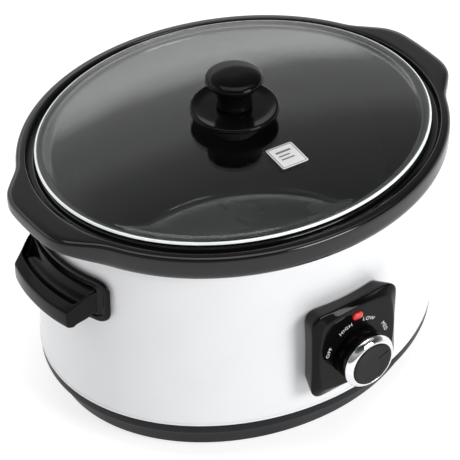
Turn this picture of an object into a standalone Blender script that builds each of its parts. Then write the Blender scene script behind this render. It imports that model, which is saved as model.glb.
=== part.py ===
"""An oval slow cooker: heated housing, lift-out stoneware crock, glass lid and a four-position control.

Metres, +X along the long axis, the control panel facing -Y, +Z up.  The housing's oval is centred on the
empty `slow_cooker`, which is set back so that the whole object's box is centred on the origin.
"""

import math

import bmesh
import bpy
from mathutils import Matrix, Vector

# ---- Overall sizes ----
SHELL_A = 0.1600  # half length of the metal wall at its lower hem
SHELL_B = 0.1342  # half width of the metal wall at its lower hem
BASE_TOP = 0.0310  # height of the wall's lower hem above the table
WALL_HEIGHT = 0.1455  # lower hem to upper bead
WALL_TAPER = 0.0031  # how much the wall leans in from hem to bead
GAP = 0.0003  # air between pieces that rest on one another

# ---- Sheet and moulding thicknesses ----
SHEET = 0.0010  # outer wall
LINER = 0.0008  # heating well
BAND = 0.0018  # heating band
STRAP = 0.0006  # strap round the heating band

# ---- Crock ----
RIM_OUT_X = 0.0074  # crock rim beyond the wall's hem, lengthwise
RIM_OUT_Y = 0.0108  # crock rim beyond the wall's hem, widthwise
RIM_RISE = 0.0195  # crock rim above the wall's bead
LUG_REACH = 0.0134  # lifting lug beyond the crock rim
LEDGE_DROP = 0.0015  # the lid's seat below the crock rim
CHANNEL_DROP = 0.0056  # drip channel round the lid, below the crock rim
CROCK_FLOOR = 0.0075  # thickness of the crock's floor

# ---- Lid ----
LID_INSET = 0.0139  # lid edge inside the crock's rim
LID_EDGE = 0.0048  # thickness of the lid's ground edge
LID_GLASS = 0.0040  # thickness of the dome
LID_DOME = 0.0070  # rise of the dome above the lid's edge
GUARD_RADIUS = 0.0333  # heat guard under the lid's grip
GRIP_RADIUS = 0.0216
GRIP_HEIGHT = 0.0290
BORE = 0.0020  # clearance holes for the small screws
SHANK = 0.0017  # shanks of the small screws

# ---- Control panel ----
PANEL_HALF = 0.0385  # half width and half height of the panel at its corners
PANEL_Z = 0.0905  # centre height of the panel
PANEL_PROUD = 0.0144  # face of the panel beyond the wall's hem
PANEL_DRAFT = 0.0046  # how far the panel's sides lean in towards the wall
KNOB_DROP = 0.0069  # knob axis below the panel's centre
LAMP_RISE = 0.0333  # lamp above the knob's axis
KNOB_RADIUS = 0.0205
KNOB_LENGTH = 0.0190  # panel face to front of the knob's cap

# ---- Side handles ----
HANDLE_HALF = 0.0530  # half width of the mounting flange
GRIP_HALF = 0.0350  # half width of the grip at its outer edge
GRIP_REACH = 0.0190  # grip beyond the wall's hem
HANDLE_DROP = 0.0400  # centre of the mounting flange below the wall's bead

FRONT_REACH = SHELL_B + PANEL_PROUD + KNOB_LENGTH
BACK_REACH = SHELL_B + RIM_OUT_Y
BODY_Y = (FRONT_REACH - BACK_REACH) / 2

SHELL_TOP = BASE_TOP + WALL_HEIGHT
HANDLE_Z = SHELL_TOP - HANDLE_DROP
RIM_A = SHELL_A + RIM_OUT_X
RIM_B = SHELL_B + RIM_OUT_Y
RIM_Z = SHELL_TOP + RIM_RISE
LEDGE_Z = RIM_Z - LEDGE_DROP
CHANNEL_Z = RIM_Z - CHANNEL_DROP
LID_A = RIM_A - LID_INSET
LID_B = RIM_B - LID_INSET
LID_Z = LEDGE_Z + GAP
DOME_Z = LID_Z + LID_EDGE + LID_DOME
LINER_FLOOR = BASE_TOP + 0.0040
KNOB_Z = PANEL_Z - KNOB_DROP
FACE_Y = -(SHELL_B + PANEL_PROUD)

# Ring angles in degrees, closer together at the ends of the oval where the lugs are.
QUARTER = (0, 5, 10, 15, 19, 23, 32, 42, 52, 62, 72, 81)

COLOURS = {
    "white_paint": ((0.86, 0.86, 0.88), 0.0, 0.30),
    "black_gloss": ((0.012, 0.012, 0.014), 0.0, 0.12),
    "black_matt": ((0.030, 0.030, 0.034), 0.0, 0.45),
    "black_glaze": ((0.015, 0.015, 0.016), 0.0, 0.10),
    "charcoal": ((0.055, 0.055, 0.062), 0.0, 0.45),
    "clear_glass": ((0.80, 0.88, 0.86), 0.0, 0.03),
    "aluminium": ((0.75, 0.76, 0.78), 1.0, 0.35),
    "zinc": ((0.62, 0.63, 0.65), 1.0, 0.30),
    "chrome": ((0.85, 0.86, 0.88), 1.0, 0.06),
    "brass": ((0.78, 0.60, 0.28), 1.0, 0.30),
    "mica": ((0.52, 0.42, 0.28), 0.0, 0.60),
    "rubber": ((0.020, 0.020, 0.022), 0.0, 0.75),
    "silicone": ((0.60, 0.60, 0.58), 0.0, 0.55),
    "red_lens": ((0.65, 0.01, 0.01), 0.0, 0.10),
    "nylon": ((0.80, 0.79, 0.74), 0.0, 0.45),
    "label": ((0.90, 0.90, 0.90), 0.0, 0.40),
    "sleeve_brown": ((0.25, 0.10, 0.04), 0.0, 0.50),
    "sleeve_blue": ((0.03, 0.10, 0.45), 0.0, 0.50),
    "sleeve_white": ((0.82, 0.82, 0.80), 0.0, 0.60),
}


# ---- Scene ----
for old in list(bpy.data.objects):
    bpy.data.objects.remove(old, do_unlink=True)

parts = bpy.data.collections.new("slow_cooker")
bpy.context.scene.collection.children.link(parts)
cutters = bpy.data.collections.new("slow_cooker_cutters")
cutters.hide_render = True
bpy.context.scene.collection.children.link(cutters)


def frame(name, location, parent=None):
    """An empty that carries one group of pieces."""
    empty = bpy.data.objects.new(name, None)
    empty.location = location
    empty.parent = parent
    parts.objects.link(empty)
    return empty


root = frame("slow_cooker_frame", (0, BODY_Y, 0))
crock_frame = frame("crock_frame", (0, 0, 0), root)
lid_frame = frame("lid_frame", (0, 0, 0), crock_frame)
knob_frame = frame("knob_frame", (0, FACE_Y, KNOB_Z), root)
knob_frame.rotation_euler = (math.pi / 2, 0, 0)


def place(name, mesh, colour, parent):
    """Links a mesh as one named piece with its own material."""
    bm = bmesh.new()
    bm.from_mesh(mesh)
    bmesh.ops.recalc_face_normals(bm, faces=bm.faces)
    bm.to_mesh(mesh)
    bm.free()
    return link(name, mesh, colour, parent)


def link(name, data, colour, parent):
    piece = bpy.data.objects.new(name, data)
    piece.parent = parent
    parts.objects.link(piece)
    base, metallic, roughness = COLOURS[colour]
    paint = bpy.data.materials.new(name + "_" + colour)
    paint.use_nodes = True
    shader = paint.node_tree.nodes["Principled BSDF"]
    shader.inputs["Base Color"].default_value = (*base, 1.0)
    shader.inputs["Metallic"].default_value = metallic
    shader.inputs["Roughness"].default_value = roughness
    if colour == "clear_glass":
        shader.inputs["Transmission Weight"].default_value = 1.0
    data.materials.append(paint)
    return piece


def ring_angles():
    first = [*QUARTER, 90]
    half = first + [180 - a for a in reversed(first)][1:]
    return [math.radians(a) for a in half + [360 - a for a in reversed(half)][1:-1]]


ANGLES = ring_angles()


def oval(a, b, z):
    return [(a * math.cos(t), b * math.sin(t), z) for t in ANGLES]


def loft(name, rows, colour, parent, ring=True):
    """A body skinned over rows of equal length: a ring closed on itself, or a stack capped at both ends."""
    count = len(rows[0])
    vertices = [point for row in rows for point in row]
    last = len(rows) if ring else len(rows) - 1
    faces = []
    for i in range(last):
        a = i * count
        b = (i + 1) % len(rows) * count
        for j in range(count):
            k = (j + 1) % count
            faces.append((a + j, a + k, b + k, b + j))
    if not ring:
        faces.append(tuple(range(count)))
        faces.append(tuple(reversed(range(len(vertices) - count, len(vertices)))))
    mesh = bpy.data.meshes.new(name)
    mesh.from_pydata(vertices, [], faces)
    return place(name, mesh, colour, parent)


def turned(name, profile, colour, parent, at=(0, 0, 0), turn=(0, 0, 0), steps=16, closed=False):
    """A body of revolution about its own Z, its profile of (radius, height) running down the outside."""
    mesh = bpy.data.meshes.new(name)
    edges = [(i, i + 1) for i in range(len(profile) - 1)]
    if closed:
        edges.append((len(profile) - 1, 0))
    mesh.from_pydata([(r, 0, z) for r, z in profile], edges, [])
    piece = link(name, mesh, colour, parent)
    piece.location = at
    piece.rotation_euler = turn
    screw = piece.modifiers.new("turn", "SCREW")
    screw.steps = steps
    screw.render_steps = steps
    screw.use_merge_vertices = True
    screw.merge_threshold = 0.00002
    screw.use_normal_calculate = False
    return piece


def box(name, size, centre, colour, parent, bevel=0.0):
    mesh = bpy.data.meshes.new(name)
    bm = bmesh.new()
    bmesh.ops.create_cube(bm, size=1.0, matrix=Matrix.Diagonal((*size, 1.0)))
    bm.to_mesh(mesh)
    bm.free()
    piece = place(name, mesh, colour, parent)
    piece.location = centre
    if bevel:
        edge = piece.modifiers.new("bevel", "BEVEL")
        edge.width = bevel
        edge.segments = 1
    return piece


def prism(name, outline, low, high, colour, parent, bevel=0.0):
    """A flat outline in X and Y raised from one height to another."""
    bm = bmesh.new()
    face = bm.faces.new([bm.verts.new((x, y, low)) for x, y in outline])
    raised = bmesh.ops.extrude_face_region(bm, geom=[face])["geom"]
    moved = [item for item in raised if isinstance(item, bmesh.types.BMVert)]
    bmesh.ops.translate(bm, verts=moved, vec=(0, 0, high - low))
    mesh = bpy.data.meshes.new(name)
    bm.to_mesh(mesh)
    bm.free()
    piece = place(name, mesh, colour, parent)
    if bevel:
        edge = piece.modifiers.new("bevel", "BEVEL")
        edge.width = bevel
        edge.segments = 2
        edge.limit_method = "ANGLE"
        edge.angle_limit = math.radians(50)
    return piece


def wire(name, points, radius, colour, parent):
    curve = bpy.data.curves.new(name, "CURVE")
    curve.dimensions = "3D"
    curve.bevel_depth = radius
    curve.bevel_resolution = 2
    curve.use_fill_caps = True
    spline = curve.splines.new("POLY")
    spline.points.add(len(points) - 1)
    for target, point in zip(spline.points, points):
        target.co = (*point, 1.0)
    return link(name, curve, colour, parent)


def hide_cutter(tool):
    for home in list(tool.users_collection):
        home.objects.unlink(tool)
    cutters.objects.link(tool)
    tool.hide_render = True
    tool.display_type = "WIRE"
    return tool


def cut(piece, tool, operation="DIFFERENCE"):
    boolean = piece.modifiers.new(operation.lower(), "BOOLEAN")
    boolean.operation = operation
    boolean.solver = "EXACT"
    boolean.object = tool


def drill(piece, radius, start, end, steps=20):
    """A round hole from one point to another, in the piece's parent frame."""
    axis = Vector(end) - Vector(start)
    profile = [(0, axis.length), (radius, axis.length), (radius, 0), (0, 0)]
    tool = turned(piece.name + "_hole", profile, "zinc", piece.parent, start, steps=steps)
    tool.rotation_euler = axis.to_track_quat("Z", "Y").to_euler()
    cut(piece, hide_cutter(tool))


def slot(piece, size, centre, bevel=0.0):
    tool = box(piece.name + "_slot", size, centre, "zinc", piece.parent, bevel)
    cut(piece, hide_cutter(tool))


def lean(z):
    """How far in the wall leans at a height."""
    return WALL_TAPER * (z - BASE_TOP) / WALL_HEIGHT


def wall_row(inset, z):
    return oval(SHELL_A - lean(z) - inset, SHELL_B - lean(z) - inset, z)


def base_row(inset, z):
    return oval(SHELL_A - inset, SHELL_B - inset, z)


# ---- Outer wall: painted sheet with a bead at the top and a hem at the bottom ----
shell = loft(
    "outer_shell",
    [
        wall_row(-0.0006, BASE_TOP + 0.0002),
        wall_row(-0.0006, BASE_TOP + 0.0022),
        wall_row(0, BASE_TOP + 0.0032),
        wall_row(0, SHELL_TOP - 0.0032),
        wall_row(-0.0006, SHELL_TOP - 0.0022),
        wall_row(-0.0006, SHELL_TOP - 0.0006),
        wall_row(0, SHELL_TOP),
        wall_row(0.0014, SHELL_TOP),
        wall_row(SHEET, SHELL_TOP - 0.0020),
        wall_row(SHEET, BASE_TOP + 0.0002),
    ],
    "white_paint",
    root,
)

# ---- Heating well: a pressed aluminium pan hung from the top of the wall ----
LIP = SHELL_TOP + GAP
WELL = [
    (0.0290, LINER_FLOOR),
    (0.0210, LINER_FLOOR + 0.0035),
    (0.0150, LINER_FLOOR + 0.0140),
    (0.0130, LINER_FLOOR + 0.0270),
    (0.0094, LINER_FLOOR + 0.0670),
    (0.0026, SHELL_TOP - 0.0060),
]


def well_inset(z):
    """Outer face of the heating well at a height, as an inset from the wall."""
    for (low_in, low), (high_in, high) in zip(WELL, WELL[1:]):
        if low <= z <= high:
            return low_in + (high_in - low_in) * (z - low) / (high - low)
    return WELL[-1][0]


liner_rows = [wall_row(inset, z) for inset, z in WELL]
liner_rows.append(wall_row(0.0022, LIP))
liner_rows.append(wall_row(0.0006, LIP))
liner_rows.append(wall_row(0.0004, LIP + LINER / 2))
liner_rows.append(wall_row(0.0006, LIP + LINER))
liner_rows.append(wall_row(0.0026, LIP + LINER))
liner_rows += [wall_row(inset + LINER, z) for inset, z in reversed(WELL[1:])]
liner_rows.append(wall_row(WELL[0][0] + LINER, LINER_FLOOR + LINER))
liner = loft("heating_well", liner_rows, "aluminium", root, ring=False)

# ---- Heating band: mica wound element held round the well by a steel strap ----
BAND_LOW = LINER_FLOOR + 0.0290
BAND_HIGH = BAND_LOW + 0.0340


def belt(name, low, high, inner, outer, colour):
    """A belt that follows the heating well between two heights."""
    rows = [
        wall_row(well_inset(low) - outer, low),
        wall_row(well_inset(high) - outer, high),
        wall_row(well_inset(high) - inner, high),
        wall_row(well_inset(low) - inner, low),
    ]
    return loft(name, rows, colour, root)


belt("heating_band", BAND_LOW, BAND_HIGH, GAP, GAP + BAND, "mica")
STRAP_IN = 2 * GAP + BAND
STRAP_LOW = BAND_LOW + 0.0060
STRAP_HIGH = STRAP_LOW + 0.0080
belt("band_strap", STRAP_LOW, STRAP_HIGH, STRAP_IN, STRAP_IN + STRAP, "zinc")

# ---- Base: moulded ring with a spigot inside the wall and a flange under the plate ----
FLANGE_LOW = 0.0040
FLANGE_HIGH = FLANGE_LOW + 0.0022
base = loft(
    "base_ring",
    [
        base_row(0, BASE_TOP - GAP),
        base_row(0, BASE_TOP - 0.0075),
        base_row(0.0058, BASE_TOP - 0.0088),
        base_row(0.0100, FLANGE_LOW + 0.0012),
        base_row(0.0114, FLANGE_LOW),
        base_row(0.0330, FLANGE_LOW),
        base_row(0.0330, FLANGE_HIGH),
        base_row(0.0138, FLANGE_HIGH),
        base_row(0.0090, BASE_TOP - 0.0100),
        base_row(0.0038, BASE_TOP - 0.0050),
        base_row(0.0038, BASE_TOP + 0.0055),
        base_row(0.0018, BASE_TOP + 0.0055),
        base_row(0.0018, BASE_TOP - GAP),
    ],
    "charcoal",
    root,
)

# ---- Bottom plate: sheet disc on the base's flange, with cooling slots ----
PLATE_LOW = FLANGE_HIGH + GAP
plate = loft(
    "bottom_plate",
    [base_row(0.0150, PLATE_LOW), base_row(0.0150, PLATE_LOW + SHEET)],
    "zinc",
    root,
    ring=False,
)
for i in range(-2, 3):
    slot(plate, (0.0030, 0.0340, 0.0060), (0.060 + 0.0085 * i, 0, PLATE_LOW))
    slot(plate, (0.0030, 0.0340, 0.0060), (-0.060 + 0.0085 * i, 0, PLATE_LOW))
drill(plate, 0.0029, (0, 0, 0), (0, 0, 0.0200))

# ---- Tie bolt, washer and nut that draw the base to the well ----
BOLT_TOP = LINER_FLOOR - GAP
WASHER_LOW = PLATE_LOW - GAP - 0.0008
NUT_LOW = WASHER_LOW - GAP - 0.0032
turned(
    "tie_bolt",
    [
        (0, BOLT_TOP),
        (0.0080, BOLT_TOP),
        (0.0080, BOLT_TOP - 0.0015),
        (0.0024, BOLT_TOP - 0.0015),
        (0.0024, NUT_LOW - 0.0004),
        (0, NUT_LOW - 0.0004),
    ],
    "zinc",
    root,
)
turned(
    "tie_washer",
    [
        (0.0062, WASHER_LOW + 0.0008),
        (0.0062, WASHER_LOW),
        (0.0028, WASHER_LOW),
        (0.0028, WASHER_LOW + 0.0008),
    ],
    "zinc",
    root,
    closed=True,
)
hexagon = [(0.0046 * math.cos(i * math.pi / 3), 0.0046 * math.sin(i * math.pi / 3)) for i in range(6)]
nut = prism("tie_nut", hexagon, NUT_LOW, NUT_LOW + 0.0032, "zinc", root)
drill(nut, 0.0027, (0, 0, -0.010), (0, 0, 0.0200), steps=16)

# ---- Rubber feet and their screws ----
FOOT_A = SHELL_A - 0.0240
FOOT_B = SHELL_B - 0.0240
FOOT_TOP = FLANGE_LOW - GAP
FOOT_ANGLE = math.radians(63)
for index, (sx, sy) in enumerate(((-1, -1), (1, -1), (1, 1), (-1, 1)), start=1):
    spot = (sx * FOOT_A * math.cos(FOOT_ANGLE), sy * FOOT_B * math.sin(FOOT_ANGLE), 0)
    turned(
        f"foot_{index}",
        [
            (0.0092, FOOT_TOP),
            (0.0088, 0.0006),
            (0.0082, 0),
            (0.0046, 0),
            (0.0046, 0.0022),
            (BORE, 0.0022),
            (BORE, FOOT_TOP),
        ],
        "rubber",
        root,
        spot,
        steps=16,
        closed=True,
    )
    turned(
        f"foot_screw_{index}",
        [
            (0, FLANGE_HIGH - 0.0002),
            (SHANK, FLANGE_HIGH - 0.0002),
            (SHANK, 0.0019),
            (0.0040, 0.0019),
            (0.0036, 0.0006),
            (0, 0.0006),
        ],
        "zinc",
        root,
        spot,
        steps=10,
    )
    drill(base, BORE, (spot[0], spot[1], 0), (spot[0], spot[1], 0.0120), steps=16)

# ---- Side handles: moulded flange curved to the wall, with a sloping grip open underneath ----
FLANGE_DEEP = 0.0044


def tab(half, low, high, corner):
    """A rounded outline in Y and Z."""
    outline = []
    centres = ((half, high, 0), (-half, high, 90), (-half, low, 180), (half, low, 270))
    for y, z, start in centres:
        cy = y - math.copysign(corner, y)
        cz = z - corner if z == high else z + corner
        for step in range(5):
            t = math.radians(start + 22.5 * step)
            outline.append((cy + corner * math.cos(t), cz + corner * math.sin(t)))
    return outline


def handle(name, side):
    low = HANDLE_Z - 0.0185
    high = HANDLE_Z + 0.0185
    flange = loft(
        name,
        [
            wall_row(-GAP, low - 0.01),
            wall_row(-FLANGE_DEEP, low - 0.01),
            wall_row(-FLANGE_DEEP, high + 0.01),
            wall_row(-GAP, high + 0.01),
        ],
        "black_gloss",
        root,
    )
    outline = [(-side * z, y) for y, z in tab(HANDLE_HALF, low, high, 0.0100)]
    keep = prism(name + "_keep", outline, SHELL_A * 0.5, SHELL_A * 1.5, "zinc", root)
    keep.rotation_euler = (0, side * math.pi / 2, 0)
    cut(flange, hide_cutter(keep), "INTERSECT")
    grip = hide_cutter(grip_block(name + "_grip", side))
    cut(flange, grip, "UNION")
    return flange


def grip_station(side, share):
    """Plan of the grip across Y: where it meets the flange and where its outer edge is."""
    half_root = GRIP_HALF + 0.0090
    y_root = half_root * share
    y_edge = GRIP_HALF * share
    root_x = (SHELL_A - lean(HANDLE_Z)) * math.sqrt(1 - (y_root / SHELL_B) ** 2) + 0.0020
    edge_x = SHELL_A + GRIP_REACH - 0.0048 * abs(share) ** 2.2
    return side * root_x, y_root, side * edge_x, y_edge


def grip_block(name, side):
    """The grip: a dished top, an outer bar and a finger hollow underneath that stops short of the ends."""
    top = HANDLE_Z + 0.0088
    shares = (-1, -0.93, -0.90, -0.72, -0.48, -0.24, 0, 0.24, 0.48, 0.72, 0.90, 0.93, 1)
    rows = []
    for share in shares:
        root_x, root_y, edge_x, edge_y = grip_station(side, share)
        hollow = 0.0 if abs(share) > 0.92 else 1.0
        section = (
            (0.00, 0.0),
            (0.20, -0.0012 - 0.0070 * hollow),
            (0.42, -0.0040 - 0.0085 * hollow),
            (0.58, -0.0082 - 0.0048 * hollow),
            (0.66, -0.0098),
            (0.84, -0.0129),
            (0.97, -0.0152),
            (1.00, -0.0168),
            (1.00, -0.0284),
            (0.96, -0.0299),
            (0.78, -0.0297),
            (0.74, -0.0282 + 0.0078 * hollow),
            (0.40, -0.0240 + 0.0056 * hollow),
            (0.18, -0.0202 + 0.0030 * hollow),
            (0.00, -0.0170),
        )
        row = []
        for across, down in section:
            x = root_x + (edge_x - root_x) * across
            y = root_y + (edge_y - root_y) * across
            row.append((x, y, top + down))
        rows.append(row)
    return loft(name, rows, "black_gloss", root, ring=False)


left_handle = handle("handle_left", -1)
right_handle = handle("handle_right", 1)
SCREW_Y = 0.0415
SCREW_DEEP = 0.0040
for handle_piece, side, label in ((left_handle, -1, "left"), (right_handle, 1, "right")):
    for end, suffix in ((-1, "front"), (1, "back")):
        y = end * SCREW_Y
        z = HANDLE_Z
        wall_x = side * (SHELL_A - lean(z)) * math.sqrt(1 - (y / (SHELL_B - lean(z))) ** 2)
        out = Vector((wall_x / SHELL_A**2, y / SHELL_B**2, 0)).normalized()
        inner = Vector((wall_x, y, z)) - out * (SHEET + 0.0030)
        tip = Vector((wall_x, y, z)) + out * (SCREW_DEEP - 0.0010)
        drill(shell, BORE, inner, tip, steps=12)
        drill(handle_piece, BORE, inner, tip + out * 0.0004, steps=12)
        head = SHEET + 0.0014
        screw = turned(
            f"handle_screw_{label}_{suffix}",
            [
                (0, SCREW_DEEP - 0.0014),
                (SHANK, SCREW_DEEP - 0.0014),
                (SHANK, -head + 0.0008),
                (0.0034, -head + 0.0008),
                (0.0034, -head - 0.0010),
                (0, -head - 0.0010),
            ],
            "zinc",
            root,
            Vector((wall_x, y, z)),
            steps=12,
        )
        screw.rotation_euler = out.to_track_quat("Z", "Y").to_euler()

# ---- Control panel: a pillow-sided frame with a raised face, hollow behind ----


def pillow(half, bow, corner, y, centre_z):
    """A rounded square in X and Z whose sides bow out, or in where the bow is negative."""
    row = []
    for quarter in range(4):
        turn = quarter * math.pi / 2
        local = []
        for step in range(5):
            t = math.radians(22.5 * step)
            local.append((half - corner + corner * math.cos(t), half - corner + corner * math.sin(t)))
        for share in (0.6, 0.2, -0.2, -0.6):
            span = half - corner
            local.append((share * span, half + bow * (1 - share**2)))
        for u, v in local:
            x = u * math.cos(turn) - v * math.sin(turn)
            z = u * math.sin(turn) + v * math.cos(turn)
            row.append((x, y, centre_z + z))
    return row


def on_wall(row, off):
    """Moves a row back to the wall's curve, keeping a distance off it."""
    moved = []
    for x, _, z in row:
        a = SHELL_A - lean(z) + off
        b = SHELL_B - lean(z) + off
        moved.append((x, -b * math.sqrt(1 - (x / a) ** 2), z))
    return moved


PANEL_WALL = 0.0024
panel_back = pillow(PANEL_HALF - PANEL_DRAFT, -0.0006, 0.0090, 0, PANEL_Z)
panel_inner = pillow(PANEL_HALF - PANEL_DRAFT - PANEL_WALL, -0.0006, 0.0070, 0, PANEL_Z)
panel = loft(
    "control_panel",
    [
        pillow(PANEL_HALF - 0.0074, 0.0032, 0.0042, FACE_Y, PANEL_Z),
        pillow(PANEL_HALF - 0.0066, 0.0032, 0.0046, FACE_Y + 0.0004, PANEL_Z),
        pillow(PANEL_HALF - 0.0010, -0.0004, 0.0094, FACE_Y + 0.0028, PANEL_Z),
        pillow(PANEL_HALF, -0.0006, 0.0100, FACE_Y + 0.0038, PANEL_Z),
        on_wall(panel_back, GAP),
        on_wall(panel_inner, GAP),
        pillow(PANEL_HALF - PANEL_WALL, -0.0006, 0.0076, FACE_Y + 0.0062, PANEL_Z),
        pillow(PANEL_HALF - 0.0090, 0, 0.0050, FACE_Y + PANEL_WALL, PANEL_Z),
    ],
    "black_gloss",
    root,
    ring=False,
)
SWITCH_HALF = 0.0130
SWITCH_FRONT = FACE_Y + 0.0032
SWITCH_BACK = SWITCH_FRONT + 0.0150
drill(panel, 0.0042, (0, FACE_Y - 0.005, KNOB_Z), (0, FACE_Y + 0.010, KNOB_Z), steps=20)
LAMP_Z = KNOB_Z + LAMP_RISE
slot(panel, (0.0090, 0.0060, 0.0066), (0, FACE_Y, LAMP_Z))
slot(panel, (0.0076, 0.0300, 0.0052), (0, FACE_Y + 0.0100, LAMP_Z))
slot(shell, (0.0320, 0.0300, 0.0320), (0, -SHELL_B, KNOB_Z))
slot(shell, (0.0090, 0.0300, 0.0080), (0, -SHELL_B, LAMP_Z - 0.0020))

for sx, label in ((-1, "upper"), (1, "lower")):
    x = 0.0265 * sx
    z = PANEL_Z - 0.0265 * sx
    wall_y = -(SHELL_B - lean(z)) * math.sqrt(1 - (x / (SHELL_A - lean(z))) ** 2)
    boss = turned(
        "panel_boss",
        [(0, -0.0008), (0.0042, -0.0008), (0.0042, FACE_Y + 0.0015 - wall_y), (0, FACE_Y + 0.0015 - wall_y)],
        "zinc",
        root,
        (x, wall_y, z),
        (-math.pi / 2, 0, 0),
        steps=16,
    )
    cut(panel, hide_cutter(boss), "UNION")
    drill(panel, BORE, (x, wall_y + 0.004, z), (x, wall_y - 0.0062, z), steps=12)
    drill(shell, BORE, (x, wall_y + 0.004, z), (x, wall_y - 0.0020, z), steps=12)
    turned(
        f"panel_screw_{label}",
        [
            (0, 0.0055),
            (SHANK, 0.0055),
            (SHANK, -SHEET - 0.0010),
            (0.0034, -SHEET - 0.0010),
            (0.0034, -SHEET - 0.0026),
            (0, -SHEET - 0.0026),
        ],
        "zinc",
        root,
        (x, wall_y, z),
        (math.pi / 2, 0, 0),
        steps=12,
    )

# ---- Indicator: red lens pressed into the panel and the neon behind it ----
box("indicator_lens", (0.0084, 0.0046, 0.0060), (0, FACE_Y + 0.0004, LAMP_Z), "red_lens", root, 0.0008)
turned(
    "neon_lamp",
    [(0, 0.0090), (0.0012, 0.0084), (0.0020, 0.0070), (0.0020, 0), (0, 0)],
    "clear_glass",
    root,
    (0, FACE_Y + 0.0125, LAMP_Z),
    (math.pi / 2, 0, 0),
    steps=16,
)

# ---- Rotary switch on a bracket behind the panel ----
switch = box(
    "rotary_switch",
    (2 * SWITCH_HALF, SWITCH_BACK - SWITCH_FRONT, 2 * SWITCH_HALF),
    (0, (SWITCH_FRONT + SWITCH_BACK) / 2, KNOB_Z),
    "nylon",
    root,
    0.0010,
)
drill(switch, 0.0034, (0, FACE_Y, KNOB_Z), (0, SWITCH_FRONT + 0.0100, KNOB_Z), steps=20)
BRACKET_Y = SWITCH_BACK + GAP + SHEET / 2
bracket = box("switch_bracket", (0.0440, SHEET, 0.0220), (0, BRACKET_Y, KNOB_Z), "zinc", root)
for sx in (-1, 1):
    x = sx * 0.0090
    suffix = "left" if sx < 0 else "right"
    drill(switch, BORE, (x, SWITCH_BACK + 0.002, KNOB_Z), (x, SWITCH_BACK - 0.0040, KNOB_Z), steps=12)
    drill(bracket, BORE, (x, SWITCH_BACK - 0.002, KNOB_Z), (x, SWITCH_BACK + 0.004, KNOB_Z), steps=12)
    turned(
        f"switch_screw_{suffix}",
        [
            (0, 0.0050),
            (SHANK, 0.0050),
            (SHANK, 0.0012),
            (0.0032, 0.0012),
            (0.0032, 0),
            (0, 0),
        ],
        "zinc",
        root,
        (x, SWITCH_BACK + 2 * GAP + SHEET + 0.0012, KNOB_Z),
        (math.pi / 2, 0, 0),
        steps=12,
    )

# ---- Knob: turning body, chrome ring, printed cap and the switch's shaft, all about the knob's axis ----
BODY_FRONT = KNOB_LENGTH - 0.0058
turned(
    "switch_shaft",
    [(0, 0.0100), (0.0028, 0.0100), (0.0028, -0.0110), (0, -0.0110)],
    "zinc",
    knob_frame,
    steps=20,
)
turned(
    "knob_body",
    [
        (0, BODY_FRONT + 0.0040),
        (0.0168, BODY_FRONT + 0.0040),
        (0.0168, BODY_FRONT),
        (KNOB_RADIUS, BODY_FRONT),
        (KNOB_RADIUS + 0.0002, 0.0020),
        (KNOB_RADIUS, 0.0008),
        (KNOB_RADIUS - 0.0024, 0.0008),
        (KNOB_RADIUS - 0.0024, BODY_FRONT - 0.0024),
        (0.0060, BODY_FRONT - 0.0024),
        (0.0060, 0.0008),
        (0.0031, 0.0008),
        (0.0031, 0.0103),
        (0, 0.0103),
    ],
    "black_gloss",
    knob_frame,
    steps=26,
)
turned(
    "knob_ring",
    [
        (0.0172, KNOB_LENGTH - 0.0002),
        (0.0186, KNOB_LENGTH - 0.0006),
        (0.0206, BODY_FRONT + 0.0036),
        (0.0218, BODY_FRONT + 0.0014),
        (0.0218, BODY_FRONT + 0.0008),
        (0.0212, BODY_FRONT + GAP),
        (0.0172, BODY_FRONT + GAP),
    ],
    "chrome",
    knob_frame,
    steps=26,
    closed=True,
)
cap = turned(
    "knob_cap",
    [
        (0, KNOB_LENGTH),
        (0.0160, KNOB_LENGTH),
        (0.0168, KNOB_LENGTH - 0.0006),
        (0.0168, BODY_FRONT + 0.0040 + GAP),
        (0, BODY_FRONT + 0.0040 + GAP),
    ],
    "black_matt",
    knob_frame,
    steps=26,
)
POINTER = math.radians(67.5)
groove = box("pointer_groove", (0.0007, 0.0090, 0.0008), (0, 0, 0), "zinc", knob_frame)
groove.location = (0.0108 * math.sin(POINTER), 0.0108 * math.cos(POINTER), KNOB_LENGTH)
groove.rotation_euler = (0, 0, -POINTER)
cut(cap, hide_cutter(groove))

# ---- Wiring in the base: terminal block, fuse on the band, leads and the cord's gland ----
BLOCK_LOW = PLATE_LOW + SHEET + GAP
BLOCK_SIZE = (0.0340, 0.0140, 0.0120)
block = box("terminal_block", BLOCK_SIZE, (0, 0.0560, BLOCK_LOW + 0.0060), "nylon", root, 0.0010)
GLAND_Z = BASE_TOP + 0.0190
GLAND_Y = SHELL_B - lean(GLAND_Z)
turned(
    "cord_gland",
    [
        (0.0070, 0.0034),
        (0.0085, 0.0010),
        (0.0085, GAP),
        (0.0058, GAP),
        (0.0058, -SHEET - 0.0014),
        (0.0078, -SHEET - 0.0014),
        (0.0078, -SHEET - 0.0034),
        (0.0035, -SHEET - 0.0034),
        (0.0035, 0.0034),
    ],
    "rubber",
    root,
    (0, GLAND_Y, GLAND_Z),
    (-math.pi / 2, 0, 0),
    steps=16,
    closed=True,
)
drill(shell, 0.0061, (0, GLAND_Y - 0.01, GLAND_Z), (0, GLAND_Y + 0.01, GLAND_Z), steps=20)

FUSE_Z = STRAP_HIGH + 0.0080
FUSE_A = SHELL_A - lean(FUSE_Z) - well_inset(FUSE_Z) + GAP + BAND + 0.0022
FUSE_B = SHELL_B - lean(FUSE_Z) - well_inset(FUSE_Z) + GAP + BAND + 0.0022


def beside_band(degrees, out, z):
    t = math.radians(degrees)
    return Vector(((FUSE_A + out) * math.cos(t), (FUSE_B + out) * math.sin(t), z))


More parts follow.
